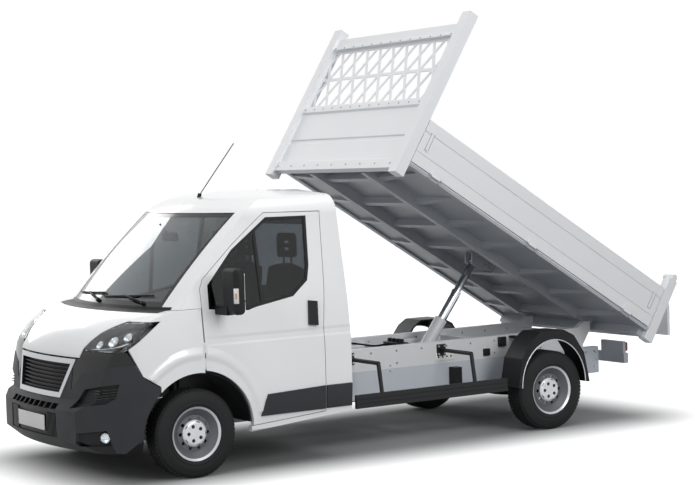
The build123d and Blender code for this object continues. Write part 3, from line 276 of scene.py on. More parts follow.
# Reflective sheet on thin aluminium: white and evenly satin.
plate_white = finish("retroreflective_plate_sheet", "EFF0EE", "E7E8E6", 0.45, 4, 0.03, 200)
print("opaque finishes:", len(bpy.data.materials))

# %% [markdown]
# Glass lets light through with a tint. A windscreen is also edged with a band of black enamel that is
# baked on to hide its glue, so the same function can take a mask for that band, drawn where the glass is
# seen from the front: near its sides, its lower edge and its top.

# %% Glass
def glazing(name, tint, index=1.45, banded=None):
    """Clear or tinted glass, with a black band where a mask says so."""
    material, tree = new_material(name)
    place = add_node(tree, "ShaderNodeTexCoord").outputs["Object"]
    ripple = add_node(tree, "ShaderNodeTexNoise", {"Vector": place, "Scale": 2.0, "Detail": 1.0})
    relief = add_node(tree, "ShaderNodeBump", {"Height": ripple.outputs["Fac"], "Strength": 0.1,
                                               "Distance": 0.5 * MM})
    surface = add_node(tree, "ShaderNodeBsdfPrincipled", {"Base Color": linear(tint), "Roughness": 0.01,
                                                          "IOR": index, "Transmission Weight": 1.0,
                                                          "Normal": relief.outputs["Normal"]})
    if banded:
        enamel = add_node(tree, "ShaderNodeBsdfPrincipled", {"Base Color": linear("08090A"),
                                                             "Roughness": 0.15})
        surface = add_node(tree, "ShaderNodeMixShader", {0: banded(tree, place), 1: surface.outputs["BSDF"],
                                                         2: enamel.outputs["BSDF"]})
    add_node(tree, "ShaderNodeOutputMaterial", {"Surface": surface.outputs[0]})
    return material


# Where the clear glass ends at the sides, foot and top, and the band's soft edge, in metres.
BAND_SIDE, BAND_FOOT, BAND_TOP, BAND_SOFT = 0.752, 1.335, 1.957, 0.006


def screen_band(tree, place):
    """One on the windscreen's edge band and zero on its clear glass."""
    axes = add_node(tree, "ShaderNodeSeparateXYZ", {"Vector": place}).outputs
    wide = add_node(tree, "ShaderNodeMath", {0: axes["Y"]}, operation="ABSOLUTE").outputs[0]
    sides = soft_step(tree, wide, BAND_SIDE, BAND_SIDE + BAND_SOFT, 0.0, 1.0)
    bottom = soft_step(tree, axes["Z"], BAND_FOOT, BAND_FOOT + BAND_SOFT, 1.0, 0.0)
    top = soft_step(tree, axes["Z"], BAND_TOP, BAND_TOP + BAND_SOFT, 0.0, 1.0)
    ends = add_node(tree, "ShaderNodeMath", {0: bottom, 1: top}, operation="MAXIMUM").outputs[0]
    return add_node(tree, "ShaderNodeMath", {0: sides, 1: ends}, operation="MAXIMUM").outputs[0]


# Toughened glass, darker in the doors than behind the seats, and a laminated windscreen.
side_glass = glazing("tinted_toughened_glass", "565C62")
back_glass = glazing("clear_toughened_glass", "C8CED0")
screen_glass = glazing("laminated_windscreen_glass", "C4CBCD", banded=screen_band)
lamp_lens = glazing("clear_polycarbonate_lens", "F4F6F7", 1.3)
print("finishes:", len(bpy.data.materials))

# %% [markdown]
# The solids come as loose triangles with flat shading. A small Geometry Nodes tree welds their corners
# and shades every edge smooth that turns by less than an angle, so a bowed panel looks bowed and a folded
# edge stays crisp. It stays on the solids as a modifier, since their own meshes aren't changed. Every tree
# in this lesson starts the same way, with a mesh in, a mesh out and named inputs for its sizes.

# %% Weld and smooth the solids
WELD_MM, CREASE_DEGREES = 0.02, 24


def new_tree(name, sizes=()):
    """A Geometry Nodes tree with named inputs: the tree and the sockets that it is given."""
    tree = bpy.data.node_groups.new(name, "GeometryNodeTree")
    tree.interface.new_socket("Geometry", in_out="INPUT", socket_type="NodeSocketGeometry")
    for label, kind in sizes:
        tree.interface.new_socket(label, in_out="INPUT", socket_type="NodeSocket" + kind)
    tree.interface.new_socket("Geometry", in_out="OUTPUT", socket_type="NodeSocketGeometry")
    return tree, add_node(tree, "NodeGroupInput").outputs


def weld_tree():
    """Welds by a distance, then smooths the edges that turn less than an angle."""
    tree, given = new_tree("weld_and_smooth")
    weld = add_node(tree, "GeometryNodeMergeByDistance", {"Geometry": given["Geometry"],
                                                          "Distance": WELD_MM * MM})
    smooth = add_node(tree, "GeometryNodeSetShadeSmooth", {"Geometry": weld.outputs["Geometry"]})
    angle = add_node(tree, "GeometryNodeInputMeshEdgeAngle")
    crisp = add_node(tree, "FunctionNodeCompare", {"A": angle.outputs["Unsigned Angle"],
                                                   "B": math.radians(CREASE_DEGREES)})
    sharp = add_node(tree, "GeometryNodeSetShadeSmooth", {"Geometry": smooth.outputs["Geometry"],
                                                          "Selection": crisp.outputs["Result"],
                                                          "Shade Smooth": False}, domain="EDGE")
    add_node(tree, "NodeGroupOutput", {"Geometry": sharp.outputs["Geometry"]})
    return tree


WELD = weld_tree()
for node in NODES.values():
    node.modifiers.new("weld_and_smooth", "NODES").node_group = WELD
print("smoothed:", len(NODES))

# %% [markdown]
# Each solid gets the finish of the real piece, and the table names the record's slot that says the same.

# %% Finishes on the solids
FINISH_OF = (
    # finish, record slot, solids
    (white_enamel, "cab_paint", "roof cab_back bonnet"),
    (side_enamel, "cab_paint", "cab_sides front_wings door_left door_right"),
    (bed_coat, "bed_paint", "headboard headboard_screen rear_posts dropside_left dropside_right tailgate"),
    # The bed's floor and frame take the grey coat of painted shade.
    (painted_shade_coat, "bed_paint", "bed_floor bed_frame"),
    (rail_coat, "frame_paint", "chassis_frame"),
    # The rear crossbar takes the grey coat of painted shade too.
    (painted_shade_coat, "frame_paint", "rear_crossbar"),
    (subframe_coat, "subframe_paint", "tipper_subframe ram_barrel"),
    (trim_plastic, "trim_plastic", "mirror_left mirror_right scuttle aerial arch_liners"),
    (black_steel, "black_steel", "side_guards front_suspension rear_axle fuel_tank knuckle_left "
                                 "knuckle_right"),
    (side_glass, "glass", "door_glass_left door_glass_right"),
    (back_glass, "glass", "rear_window"),
    (screen_glass, "glass", "windscreen"),
    (cabin_plastic, "cabin_plastic", "cab_floor dashboard steering_wheel"),
    (hard_chrome, "chrome", "ram_stage ram_rod"),
    (cast_metal, "cast_metal", "engine exhaust"),
)
for material, slot, names in FINISH_OF:
    for name in names.split():
        NODES[name].data.materials.clear()
        NODES[name].data.materials.append(material)
print("dressed:", sum(len(names.split()) for _, _, names in FINISH_OF))

# %% [markdown]
# Some solids have more than one finish, such as a grille with dark bars in a bright frame. A mesh can hold
# several materials, and each face says which one it takes. So a rule gets the middle of a face, in
# millimetres from the front axle, and the way it faces, and answers with the number of a finish.

# %% Solids in several finishes
def from_axle(place):
    """A place in metres as millimetres from the front axle."""
    return (place - spot(0, 0, 0)) / MM


def paint_faces(name, slot, rule, *finishes):
    """Gives each face of a solid the finish that the rule picks for it."""
    node = NODES[name]
    node.data.materials.clear()
    for material in finishes:
        node.data.materials.append(material)
    for face in node.data.polygons:
        face.material_index = rule(from_axle(face.center), face.normal)


def within(outline, y, z):
    """Whether a point lies in an outline: a line to its right crosses it an odd number of times."""
    crossings = 0
    for (y_from, z_from), (y_to, z_to) in zip(outline, outline[1:] + outline[:1]):
        if (z_from > z) != (z_to > z):
            crossings += y < y_from + (y_to - y_from) * (z - z_from) / (z_to - z_from)
    return crossings % 2 == 1


print("helpers: from_axle, paint_faces, within")

# %% [markdown]
# The grille, the bumper, the doors' trim, the mudguards, the hydraulic tank and the wheels are such solids.
# Outlines on the front are given as they look from ahead, as pairs of y and z, and the other limits are
# distances in millimetres.

# %% Grille, bumper, tank and wheels
GRILLE_OPENING = [(-370, 681), (370, 681), (464, 900), (-464, 900)]
GLOSS_BAND = [(517, 712), (634, 837), (884, 894), (989, 912), (975, 1003), (553, 1003), (490, 895)]
# The bumper's recesses, where its dark plastic is painted shade.
RECESS_SHADE_OUTLINES = (
    # outlines on one side, which hold for both
    [(591, 580), (882, 623), (928, 664), (944, 768), (692, 724)],
    [(673, 300), (905, 312), (880, 425), (690, 400)],
    [(-10, 350), (445, 350), (430, 535), (-10, 535)],
    [(-10, 556), (430, 556), (430, 606), (-10, 606)],
)
# Behind the plate and below the lip, the bumper's dark plastic is painted shade too.
CARRIER_FACE, CARRIER_HALF, CARRIER_FOOT, CARRIER_TOP, LIP_SHADE_TOP = 905, 266, 379, 509, 330
FLANGE_INSIDE, CAP_OUTSIDE, SPARE_RIM = 191, 84, 194
STRIP_TOP, GUARD_OUTSIDE, TANK_FRONT, TANK_FOOT = 700, 1010, -1800, 579
SIDEWAYS = 0.9


def bumper_finish(middle, facing):
    """Grained plastic, with a gloss band under the lamps, and dark plastic as painted shade in the recesses,
    behind the plate and under the lip.
    """
    y = abs(middle.y)
    if within(GLOSS_BAND, y, middle.z):
        return 1
    carrier = middle.x > CARRIER_FACE and y < CARRIER_HALF and CARRIER_FOOT < middle.z < CARRIER_TOP
    in_recess_shade = any(within(outline, y, middle.z) for outline in RECESS_SHADE_OUTLINES)
    return 2 if carrier or in_recess_shade or middle.z < LIP_SHADE_TOP else 0


def wheel_finish(middle, centre):
    """Bright flange, grey disc as painted shade and bright cap as painted highlight, by the distance from the
    wheel's centre.
    """
    radius = math.hypot(middle.x - centre.x, middle.z - centre.z)
    return 0 if radius > FLANGE_INSIDE else (2 if radius < CAP_OUTSIDE else 1)


paint_faces("grille", "grille_silver", lambda middle, facing: int(within(GRILLE_OPENING, middle.y, middle.z)),
            silver_trim, trim_plastic)
paint_faces("bumper", "bumper_plastic", bumper_finish, bumper_plastic, gloss_plastic, trim_plastic)
for side in ("left", "right"):
    paint_faces("door_trim_" + side, "trim_plastic", lambda middle, facing: int(middle.z < STRIP_TOP),
                gloss_plastic, bumper_plastic)
paint_faces("mudguards", "black_steel",
            lambda middle, facing: int(abs(facing.y) > SIDEWAYS and abs(middle.y) > GUARD_OUTSIDE),
            black_steel, grey_lacquer_and_disc_shade)
paint_faces("hydraulic_pack", "black_steel",
            lambda middle, facing: int(middle.x < TANK_FRONT and middle.z > TANK_FOOT),
            black_steel, pale_lacquer_and_cap_highlight)
SPARE_CENTRE = from_axle(sum(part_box("spare_wheel"), Vector()) / 2)
# The spare's rim takes the grey of the wheels' painted disc shade.
paint_faces("spare_wheel", "tyre",
            lambda middle, facing: int((middle - SPARE_CENTRE).to_2d().length < SPARE_RIM),
            tyre_rubber, grey_lacquer_and_disc_shade)
WHEELS = {}
for corner in ("fl", "fr", "rl", "rr"):
    low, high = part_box("tyre_" + corner)
    WHEELS[corner] = (low + high) / 2
    centre = from_axle(WHEELS[corner])
    paint_faces("rim_" + corner, "wheel_silver", lambda middle, facing: wheel_finish(middle, centre),
                wheel_lacquer, grey_lacquer_and_disc_shade, pale_lacquer_and_cap_highlight)
print("solids in several finishes:", sum(len(node.data.materials) > 1 for node in NODES.values()))

# %% [markdown]
# The pieces that the solids don't have are made as meshes. Three shapes are enough for most: a block with
# rounded edges, a piece turned on a lathe, and a bent tube. Each is drawn in place, so that its object stays
# at the origin. The first two are made here.

# %% Blocks and turned shapes
def soft_block(shape, middle, size, edge, turn=None):
    """Adds a block with rounded edges: middle in metres, size and edge in millimetres."""
    corners = bmesh.ops.create_cube(shape, size=1.0)["verts"]
    scale = Matrix.Diagonal((size[0] * MM, size[1] * MM, size[2] * MM, 1.0))
    place = Matrix.Translation(middle) @ (turn or Matrix.Identity(4)) @ scale
    bmesh.ops.transform(shape, matrix=place, verts=corners)
    edges = list(dict.fromkeys(line for corner in corners for line in corner.link_edges))
    bmesh.ops.bevel(shape, geom=edges, offset=edge * MM, segments=3, affect="EDGES", profile=0.5)


def turned(shape, profile, middle, outward, steps):
    """Adds a piece turned on a lathe: pairs of out and radius in millimetres, round the outward axis."""
    outward = Vector(outward).normalized()
    side = outward.orthogonal().normalized()
    up = outward.cross(side)
    rings = []
    for step in range(steps):
        angle = math.tau * step / steps
        spoke = side * math.cos(angle) + up * math.sin(angle)
        rings.append([shape.verts.new(middle + (outward * out + spoke * radius) * MM)
                      for out, radius in profile])
    for step in range(steps):
        here, after = rings[step - 1], rings[step]
        for index in range(len(profile) - 1):
            shape.faces.new((here[index], here[index + 1], after[index + 1], after[index]))


print("shapes: soft_block, turned")

# %% [markdown]
# A shape then becomes a piece of the truck: its doubles are merged, its normals turned outwards, its edges
# shaded, and the piece is told which body it rides on. A tree can also grow the mesh first. Where a piece
# lies on a solid, rays find the solid's faces.

# %% From shapes to pieces
DOUBLES_MM = 0.01


def mesh_of(name, shape, crease):
    """The shape as a mesh: doubles merged, normals outwards, sharp only past the crease angle."""
    bmesh.ops.remove_doubles(shape, verts=shape.verts, dist=DOUBLES_MM * MM)
    bmesh.ops.recalc_face_normals(shape, faces=shape.faces)
    for face in shape.faces:
        face.smooth = True
    for line in shape.edges:
        line.smooth = line.calc_face_angle(0.0) < math.radians(crease)
    mesh = bpy.data.meshes.new(name)
    shape.to_mesh(mesh)
    shape.free()
    return mesh


def show(name, mesh, body, slot, *finishes):
    """A finished mesh as a piece that rides on a body; its record slot is not used."""
    made = in_scene(name, mesh)
    for material in finishes:
        mesh.materials.append(material)
    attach(made, body)
    return made


def piece(name, shape, body, slot, material, crease=30):
    """A shape as a finished piece in one finish."""
    return show(name, mesh_of(name, shape, crease), body, slot, material)


def grow(name, mesh, tree, sizes):
    """Runs a tree on a mesh with these input values, and gives the result as a plain mesh."""
    holder = in_scene(name, mesh)
    modifier = holder.modifiers.new(tree.name, "NODES")
    modifier.node_group = tree
    for socket in tree.interface.items_tree:
        if socket.in_out == "INPUT" and socket.name in sizes:
            modifier[socket.identifier] = sizes[socket.name]
    graph = bpy.context.evaluated_depsgraph_get()
    grown = bpy.data.meshes.new_from_object(holder.evaluated_get(graph), depsgraph=graph)
    grown.name = name
    bpy.data.objects.remove(holder)
    return grown


def skin_of(name):
    """A solid's faces, ready for rays."""
    mesh = NODES[name].data
    return BVHTree.FromPolygons([corner.co for corner in mesh.vertices],
                                [face.vertices[:] for face in mesh.polygons])


print("helpers: mesh_of, show, piece, grow, skin_of")

# %% [markdown]
# A tyre is a carcass with a bulged sidewall, a ridge that guards the rim, and a tread of separate rubber
# blocks. The carcass is turned on the lathe. The tread repeats, so Geometry Nodes make it: a short row of
# blocks across the tread, every second one set forward, is put on each point of a circle, then the circle is
# stood up and moved to the wheel. Each tyre stands for the plain one among the solids.

# %% Tyres
def tread_tree():
    """Rows of rubber blocks round a wheel, joined to the carcass that comes in."""
    sizes = (("Rows", "Int"), ("Row Pitch", "Float"), ("Slices", "Int"), ("Radius", "Float"),
             ("Block", "Vector"), ("Stagger", "Float"), ("Centre", "Vector"), ("Rubber", "Material"))
    tree, given = new_tree("tyre_tread", sizes)
    spread = add_node(tree, "ShaderNodeMath", {0: given["Rows"], 1: 1.0}, operation="SUBTRACT")
    reach = add_node(tree, "ShaderNodeMath", {0: spread.outputs[0], 1: given["Row Pitch"]},
                     operation="MULTIPLY")
    start = add_node(tree, "ShaderNodeMath", {0: reach.outputs[0], 1: -0.5}, operation="MULTIPLY")
    first = add_node(tree, "ShaderNodeCombineXYZ", {"Z": start.outputs[0]})
    pitch = add_node(tree, "ShaderNodeCombineXYZ", {"Z": given["Row Pitch"]})
    across = add_node(tree, "GeometryNodeMeshLine", {"Count": given["Rows"],
                                                     "Offset": pitch.outputs["Vector"],
                                                     "Start Location": first.outputs["Vector"]})
    index = add_node(tree, "GeometryNodeInputIndex")
    odd = add_node(tree, "ShaderNodeMath", {0: index.outputs["Index"], 1: 2.0}, operation="MODULO")
    forward = add_node(tree, "ShaderNodeMath", {0: odd.outputs[0], 1: given["Stagger"]}, operation="MULTIPLY")
    offset = add_node(tree, "ShaderNodeCombineXYZ", {"Y": forward.outputs[0]})
    row = add_node(tree, "GeometryNodeSetPosition", {"Geometry": across.outputs["Mesh"],
                                                     "Offset": offset.outputs["Vector"]})
    block = add_node(tree, "GeometryNodeMeshCube", {"Size": given["Block"]})
    slice_ = add_node(tree, "GeometryNodeInstanceOnPoints", {"Points": row.outputs["Geometry"],
                                                             "Instance": block.outputs["Mesh"]})
    ring = add_node(tree, "GeometryNodeMeshCircle", {"Vertices": given["Slices"], "Radius": given["Radius"]})
    spoke = add_node(tree, "GeometryNodeInputPosition")
    facing = add_node(tree, "FunctionNodeAlignRotationToVector", {"Vector": spoke.outputs["Position"]},
                      axis="X", pivot_axis="Z")
    round_ = add_node(tree, "GeometryNodeInstanceOnPoints", {"Points": ring.outputs["Mesh"],
                                                             "Instance": slice_.outputs["Instances"],
                                                             "Rotation": facing.outputs["Rotation"]})
    stood = add_node(tree, "GeometryNodeTransform", {"Geometry": round_.outputs["Instances"],
                                                     "Rotation": (math.pi / 2, 0, 0),
                                                     "Translation": given["Centre"]})
    solid = add_node(tree, "GeometryNodeRealizeInstances", {"Geometry": stood.outputs["Geometry"]})
    joined = add_node(tree, "GeometryNodeJoinGeometry", {"Geometry": solid.outputs["Geometry"]})
    tree.links.new(given["Geometry"], joined.inputs["Geometry"])
    rubber = add_node(tree, "GeometryNodeSetMaterial", {"Geometry": joined.outputs["Geometry"],
                                                        "Material": given["Rubber"]})
    add_node(tree, "NodeGroupOutput", {"Geometry": rubber.outputs["Geometry"]})
    return tree


TREAD = tread_tree()
TYRE_RADIUS = (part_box("tyre_fl")[1].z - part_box("tyre_fl")[0].z) / 2
BLOCK_TALL, TREAD_INSET = 9 * MM, 1.5 * MM
HALF_TYRE = [(88, 201), (97, 206), (102, 216), (104, 227), (107, 230), (107, 238), (105, 241), (107, 258)]
HALF_TYRE += [(106, 276), (105, 279), (105, 285), (103.5, 288), (101, 305), (96, 318), (88, 327), (76, 332)]
TYRE_PROFILE = HALF_TYRE + [(-out, radius) for out, radius in reversed(HALF_TYRE)]
TREAD_SIZES = {"Rows": 6, "Row Pitch": 28 * MM, "Slices": 64, "Stagger": 16 * MM, "Rubber": tyre_rubber,
               "Radius": TYRE_RADIUS - BLOCK_TALL / 2 - TREAD_INSET, "Block": (BLOCK_TALL, 27 * MM, 23 * MM)}
tyres = []
for corner, centre in WHEELS.items():
    shape = bmesh.new()
    turned(shape, TYRE_PROFILE + TYRE_PROFILE[:1], centre, LEFT, 96)
    grown = grow("treaded_tyre", mesh_of("tyre_carcass", shape, 35), TREAD, TREAD_SIZES | {"Centre": centre})
    treaded = show("treaded_tyre_" + corner, grown, "wheel_" + corner, "tyre")
    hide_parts("tyre_" + corner)
    tyres.append(treaded)
print("tyres:", len(tyres), "faces each:", len(tyres[0].data.polygons))

# %% [markdown]
# Nuts, bolts and rivets repeat in rows, and so do the slats in the bumper. Two trees make them from bare
# points, each of which knows the way it faces: one puts a tapered head on every point, round or with six
# sides, and the other an upright bar. A head is turned to its point's facing, and a bar only round the
# vertical, so that it stays upright.

# %% Heads and slats on points
def points_mesh(name, places):
    """Bare points, given as pairs of a place and the way it faces."""
    mesh = bpy.data.meshes.new(name)
    mesh.from_pydata([place for place, _ in places], [], [])
    facing = mesh.attributes.new("facing", "FLOAT_VECTOR", "POINT")
    facing.data.foreach_set("vector", [value for _, way in places for value in way])
    return mesh


def stamp_tree(name, sizes, kind, inputs, **align):
    """One shape on every point, turned to the point's facing, made real and given its finish."""
    tree, given = new_tree(name, sizes + (("Finish", "Material"),))
    stamp = add_node(tree, kind, {socket: given[label] for socket, label in inputs.items()})
    facing = add_node(tree, "GeometryNodeInputNamedAttribute", {"Name": "facing"}, data_type="FLOAT_VECTOR")
    turn = add_node(tree, "FunctionNodeAlignRotationToVector", {"Vector": facing.outputs["Attribute"]},
                    **align)
    placed = add_node(tree, "GeometryNodeInstanceOnPoints", {"Points": given["Geometry"],
                                                             "Instance": stamp.outputs["Mesh"],
                                                             "Rotation": turn.outputs["Rotation"]})
    solid = add_node(tree, "GeometryNodeRealizeInstances", {"Geometry": placed.outputs["Instances"]})
    coloured = add_node(tree, "GeometryNodeSetMaterial", {"Geometry": solid.outputs["Geometry"],
                                                          "Material": given["Finish"]})
    add_node(tree, "NodeGroupOutput", {"Geometry": coloured.outputs["Geometry"]})
    return tree


HEADS = stamp_tree("fastener_heads",
                   (("Sides", "Int"), ("Top", "Float"), ("Foot", "Float"), ("Height", "Float")),
                   "GeometryNodeMeshCone",
                   {"Vertices": "Sides", "Radius Top": "Top", "Radius Bottom": "Foot", "Depth": "Height"},
                   axis="Z")
SLATS = stamp_tree("upright_slats", (("Size", "Vector"),), "GeometryNodeMeshCube", {"Size": "Size"},
                   axis="X", pivot_axis="Z")
HEAD_TAPER = 0.8


def heads(name, places, body, slot, sides, radius, height, material):
    """Fastener heads at places in metres, with radius and height in millimetres, tapered at the top."""
    sizes = {"Sides": sides, "Top": radius * HEAD_TAPER * MM, "Foot": radius * MM, "Height": height * MM,
             "Finish": material}
    show(name, grow(name, points_mesh(name, places), HEADS, sizes), body, slot)


print("trees:", HEADS.name, SLATS.name)

# %% [markdown]
# A wheel has five nuts in dark sockets, and a bright ring round its hub cap with a dark slot between each
# two nuts. The dark sockets and slots are painted shade, and the ring's paler lacquer is a painted highlight.
# The nuts are heads on points. The ring and the sockets are turned on the lathe, and the slots are small
# blocks turned to lie across their spokes.

# %% Wheel nuts and caps
NUT_CIRCLE, NUT_COUNT, NUT_OUT, NUT_RADIUS, NUT_TALL = 56.0, 5, 69.0, 9.5, 8
# The dark ring round each nut is painted shade; the cap ring is in the paler lacquer of the painted
# highlight.
NUT_SHADE_RING = [(8, 9), (10, 9), (10, 14), (8, 14), (8, 9)]
CAP_RING = [(57, 66), (76, 66), (78, 70), (77, 82), (73, 94), (65, 102), (57, 104), (55.5, 104), (55.5, 66),
            (57, 66)]
SLOT_OUT, SLOT_CIRCLE, SLOT_SIZE = 74.4, 90, (30, 3, 7)
for corner, centre in WHEELS.items():
    outward = LEFT if centre.y > 0 else RIGHT
    body = "wheel_" + corner
    angles = [math.tau * (index / NUT_COUNT) for index in range(NUT_COUNT)]
    spots = [centre + (outward * NUT_OUT + Vector((math.cos(a), 0, math.sin(a))) * NUT_CIRCLE) * MM
             for a in angles]
    heads("wheel_nuts_" + corner, [(place, outward) for place in spots], body, "wheel_silver", 6, NUT_RADIUS,
          NUT_TALL, black_steel)
    cap, sockets = bmesh.new(), bmesh.new()
    turned(cap, CAP_RING, centre, outward, 64)
    piece("wheel_cap_" + corner, cap, body, "wheel_silver", pale_lacquer_and_cap_highlight)
    for place, angle in zip(spots, angles):
        turned(sockets, NUT_SHADE_RING, place, outward, 20)
        # Between each two nuts, a dark block is painted shade where the wheel's slot opens.
        slot_angle = angle + math.pi / NUT_COUNT
        spoke = Vector((math.cos(slot_angle), 0, math.sin(slot_angle)))
        across = Matrix.Rotation(math.pi / 2 - slot_angle, 4, "Y")
        soft_block(sockets, centre + (outward * SLOT_OUT + spoke * SLOT_CIRCLE) * MM, SLOT_SIZE, 1, across)
    piece("wheel_nut_and_slot_shade_" + corner, sockets, body, "wheel_silver", black_steel)
print("wheel nuts:", NUT_COUNT * len(WHEELS))

# %% [markdown]
# Three rows of rivets cross the headboard, and bolts hold the plates and brackets on both rails. Each row has
# its own pitch, so loops lay out the points, on the tipped bed and along the rails, and the heads go on them.

# %% Rivets and bolts
HEADBOARD_WIDE = 1800
RIVET_ROWS = (
    # square to the bed's floor, ahead of its pivot, pitch
    (45, 2871, 225),
    (632, 2869, 150),
    (1288, 2867, 150),
)
rivets = []
for w, u, pitch in RIVET_ROWS:
    count = HEADBOARD_WIDE // pitch
    rivets += [(on_bed(u, (index - count / 2) * pitch, w), BED_AHEAD) for index in range(count + 1)]
# The rivet heads take the grey coat of painted shade, darker than the headboard.
heads("headboard_rivets", rivets, "bed", "bed_paint", 10, 8, 4, painted_shade_coat)

RAIL_SIDE = 450.0
PLATE_BOLTS = [(x + a, 715 + b) for x in (-1740, -2680) for a in (-30, 30) for b in (-33, 33)]
RAIL_BOLTS = [(x, z) for x in (-1560, -2150, -3000, -3700, -4150) for z in (626, 580)]
END_BOLTS = [(x, z) for x in (-4400, -4300, -4200) for z in (420, 560)]
bolts = []
for side, outward in ((1, LEFT), (-1, RIGHT)):
    for proud, places in ((12, PLATE_BOLTS), (2, RAIL_BOLTS), (2, END_BOLTS)):
        bolts += [(spot(x, side * (RAIL_SIDE + proud), z), outward) for x, z in places]
heads("rail_bolts", bolts, "chassis", "frame_paint", 6, 10, 7, zinc_plate)
print("rivets:", len(rivets), "bolts:", len(bolts))

# %% [markdown]
# The bumper's openings are filled with small things: upright slats in the lower intake, short bars in the
# side vents, a round fog lamp on each side and the plate in the middle, which is blank. Their places are
# given as they look from ahead, and a ray along the truck finds how far back the bumper lies there.

# %% Slats, fog lamps and the plate
RAY_START = 1500
bumper_skin = skin_of("bumper")


def on_bumper(y, z, proud=0.0):
    """The bumper's surface seen from ahead at y and z, some millimetres proud of it, and its facing."""
    place, facing, _, _ = bumper_skin.ray_cast(spot(RAY_START, y, z), BACK)
    return place + facing * proud * MM, facing


def bars(name, places, size):
    """Upright bars of one size, in millimetres, at places on the bumper."""
    sizes = {"Size": [value * MM for value in size], "Finish": gloss_plastic}
    show(name, grow(name, points_mesh(name, places), SLATS, sizes), "chassis", "trim_plastic")


slats = [on_bumper(side * y, 442, 3) for side in (-1, 1) for y in range(284, 430, 18)]
bars("intake_slats", slats, (14, 5, 172))
vents = [on_bumper(side * y, 655 + 20 * row + 0.14 * (y - 800), 4) for side in (-1, 1) for row in range(4)
         for y in (820, 860, 900)]
bars("vent_bars", vents, (16, 62, 7))

FOG_Y, FOG_Z = 850.0, 368.0
FOG_BEZEL = [(0, 0), (0, 46), (16, 46), (20, 42), (18, 38), (4, 36), (4, 0)]
FOG_BOWL = [(5, 0), (6, 14), (9, 26), (16, 37), (14, 37.5), (4.5, 30), (4.2, 0)]
FOG_LENS = [(23, 0), (22, 16), (19, 30), (17, 37), (15, 37), (17, 30), (20, 16), (21, 0)]
bezels, bowls, lenses = bmesh.new(), bmesh.new(), bmesh.new()
for side in (-1, 1):
    place, facing = on_bumper(side * FOG_Y, FOG_Z)
    for shape, profile in ((bezels, FOG_BEZEL), (bowls, FOG_BOWL), (lenses, FOG_LENS)):
        turned(shape, profile, place, facing, 32)
piece("fog_bezels", bezels, "chassis", "trim_plastic", gloss_plastic)
piece("fog_reflectors", bowls, "chassis", "lamp", hard_chrome)
piece("fog_lenses", lenses, "chassis", "lamp", lamp_lens)

plate = bmesh.new()
soft_block(plate, spot(915, 0, 444), (4, 512, 116), 1.6)
soft_block(plate, spot(917, 0, 444), (2, 500, 104), 0.8)
piece("blank_plate", plate, "chassis", "cab_paint", plate_white)
print("slats:", len(slats), "vent bars:", len(vents))

# %% [markdown]
# The strips in the headlamps, the wipers, the hoses and the beads on the mudguards are round bars that follow
# a line. A tree sweeps a circle along a line of edges, and where a line is only a few places, another
# function first eases it into a smooth curve through them.

# %% Bent tubes
def tube_tree():
    """A round tube along a line of edges."""
    tree, given = new_tree("bent_tube", (("Radius", "Float"), ("Finish", "Material")))
    path = add_node(tree, "GeometryNodeMeshToCurve", {"Mesh": given["Geometry"]})
    section = add_node(tree, "GeometryNodeCurvePrimitiveCircle", {"Resolution": 12,
                                                                  "Radius": given["Radius"]})
    tube = add_node(tree, "GeometryNodeCurveToMesh", {"Curve": path.outputs["Curve"], "Fill Caps": True,
                                                      "Profile Curve": section.outputs["Curve"]})
    smooth = add_node(tree, "GeometryNodeSetShadeSmooth", {"Geometry": tube.outputs["Mesh"]})
    coloured = add_node(tree, "GeometryNodeSetMaterial", {"Geometry": smooth.outputs["Geometry"],
                                                          "Material": given["Finish"]})
    add_node(tree, "NodeGroupOutput", {"Geometry": coloured.outputs["Geometry"]})
    return tree


def eased(points, steps=8):
    """A smooth line through the points, each stretch in some steps."""
    line = []
    ends = [points[0]] + list(points) + [points[-1]]
    for before, here, after, beyond in zip(ends, ends[1:], ends[2:], ends[3:]):
        for step in range(steps):
            t = step / steps
            bow = 2 * before - 5 * here + 4 * after - beyond
            swing = 3 * here - before - 3 * after + beyond
            line.append(0.5 * (2 * here + (after - before) * t + bow * t**2 + swing * t**3))
    return line + [points[-1]]


def tube(name, lines, radius, material):
    """Round tubes along several lines of points, in metres, as one mesh."""
    path = bpy.data.meshes.new(name)
    corners = [place for line in lines for place in line]
    starts = [sum(len(line) for line in lines[:index]) for index in range(len(lines))]
    edges = [(start + i, start + i + 1) for start, line in zip(starts, lines) for i in range(len(line) - 1)]
    path.from_pydata(corners, edges, [])
    return grow(name, path, TUBES, {"Radius": radius * MM, "Finish": material})


TUBES = tube_tree()
print("tree:", TUBES.name)

# %% [markdown]
# A headlamp is a clear lens over a black box with bright reflectors in it. The solid is one block, so its
# copy is split: faces that look outwards and forwards become a thin lens, and the others a thin black box.
# Then bowls turned on the lathe stand in the box, behind the lens, with a bright strip along its lower edge.

# %% Headlamps
LAMP_WALL, LENS_GAP = 2.5, 12
LENS_LEFT, LENS_RIGHT = Vector((0.55, 0.62, 0.55)), Vector((0.55, -0.62, 0.55))
LENS_TURN, LID_RISE = 0.3, 0.98
shells = {}
for name, is_lens in (("headlamp_lenses", True), ("headlamp_boxes", False)):
    shape = bmesh.new()
    shape.from_mesh(NODES["front_lamps"].data)
    bmesh.ops.remove_doubles(shape, verts=shape.verts, dist=WELD_MM * MM)
    others = []
    for face in shape.faces:
        outward = LENS_LEFT if face.calc_center_median().y > 0 else LENS_RIGHT
        shows = face.normal.dot(outward) > LENS_TURN and face.normal.z < LID_RISE
        if shows != is_lens:
            others.append(face)
        face.smooth = True
    bmesh.ops.delete(shape, geom=others, context="FACES")
    mesh = bpy.data.meshes.new(name)
    shape.to_mesh(mesh)
    shape.free()
    material = lamp_lens if is_lens else gloss_plastic
    shells[name] = show(name, mesh, "chassis", "lamp" if is_lens else "trim_plastic", material)
    wall = shells[name].modifiers.new("wall", "SOLIDIFY")
    wall.thickness = LAMP_WALL * MM
    wall.offset = -1.0
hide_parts("front_lamps")

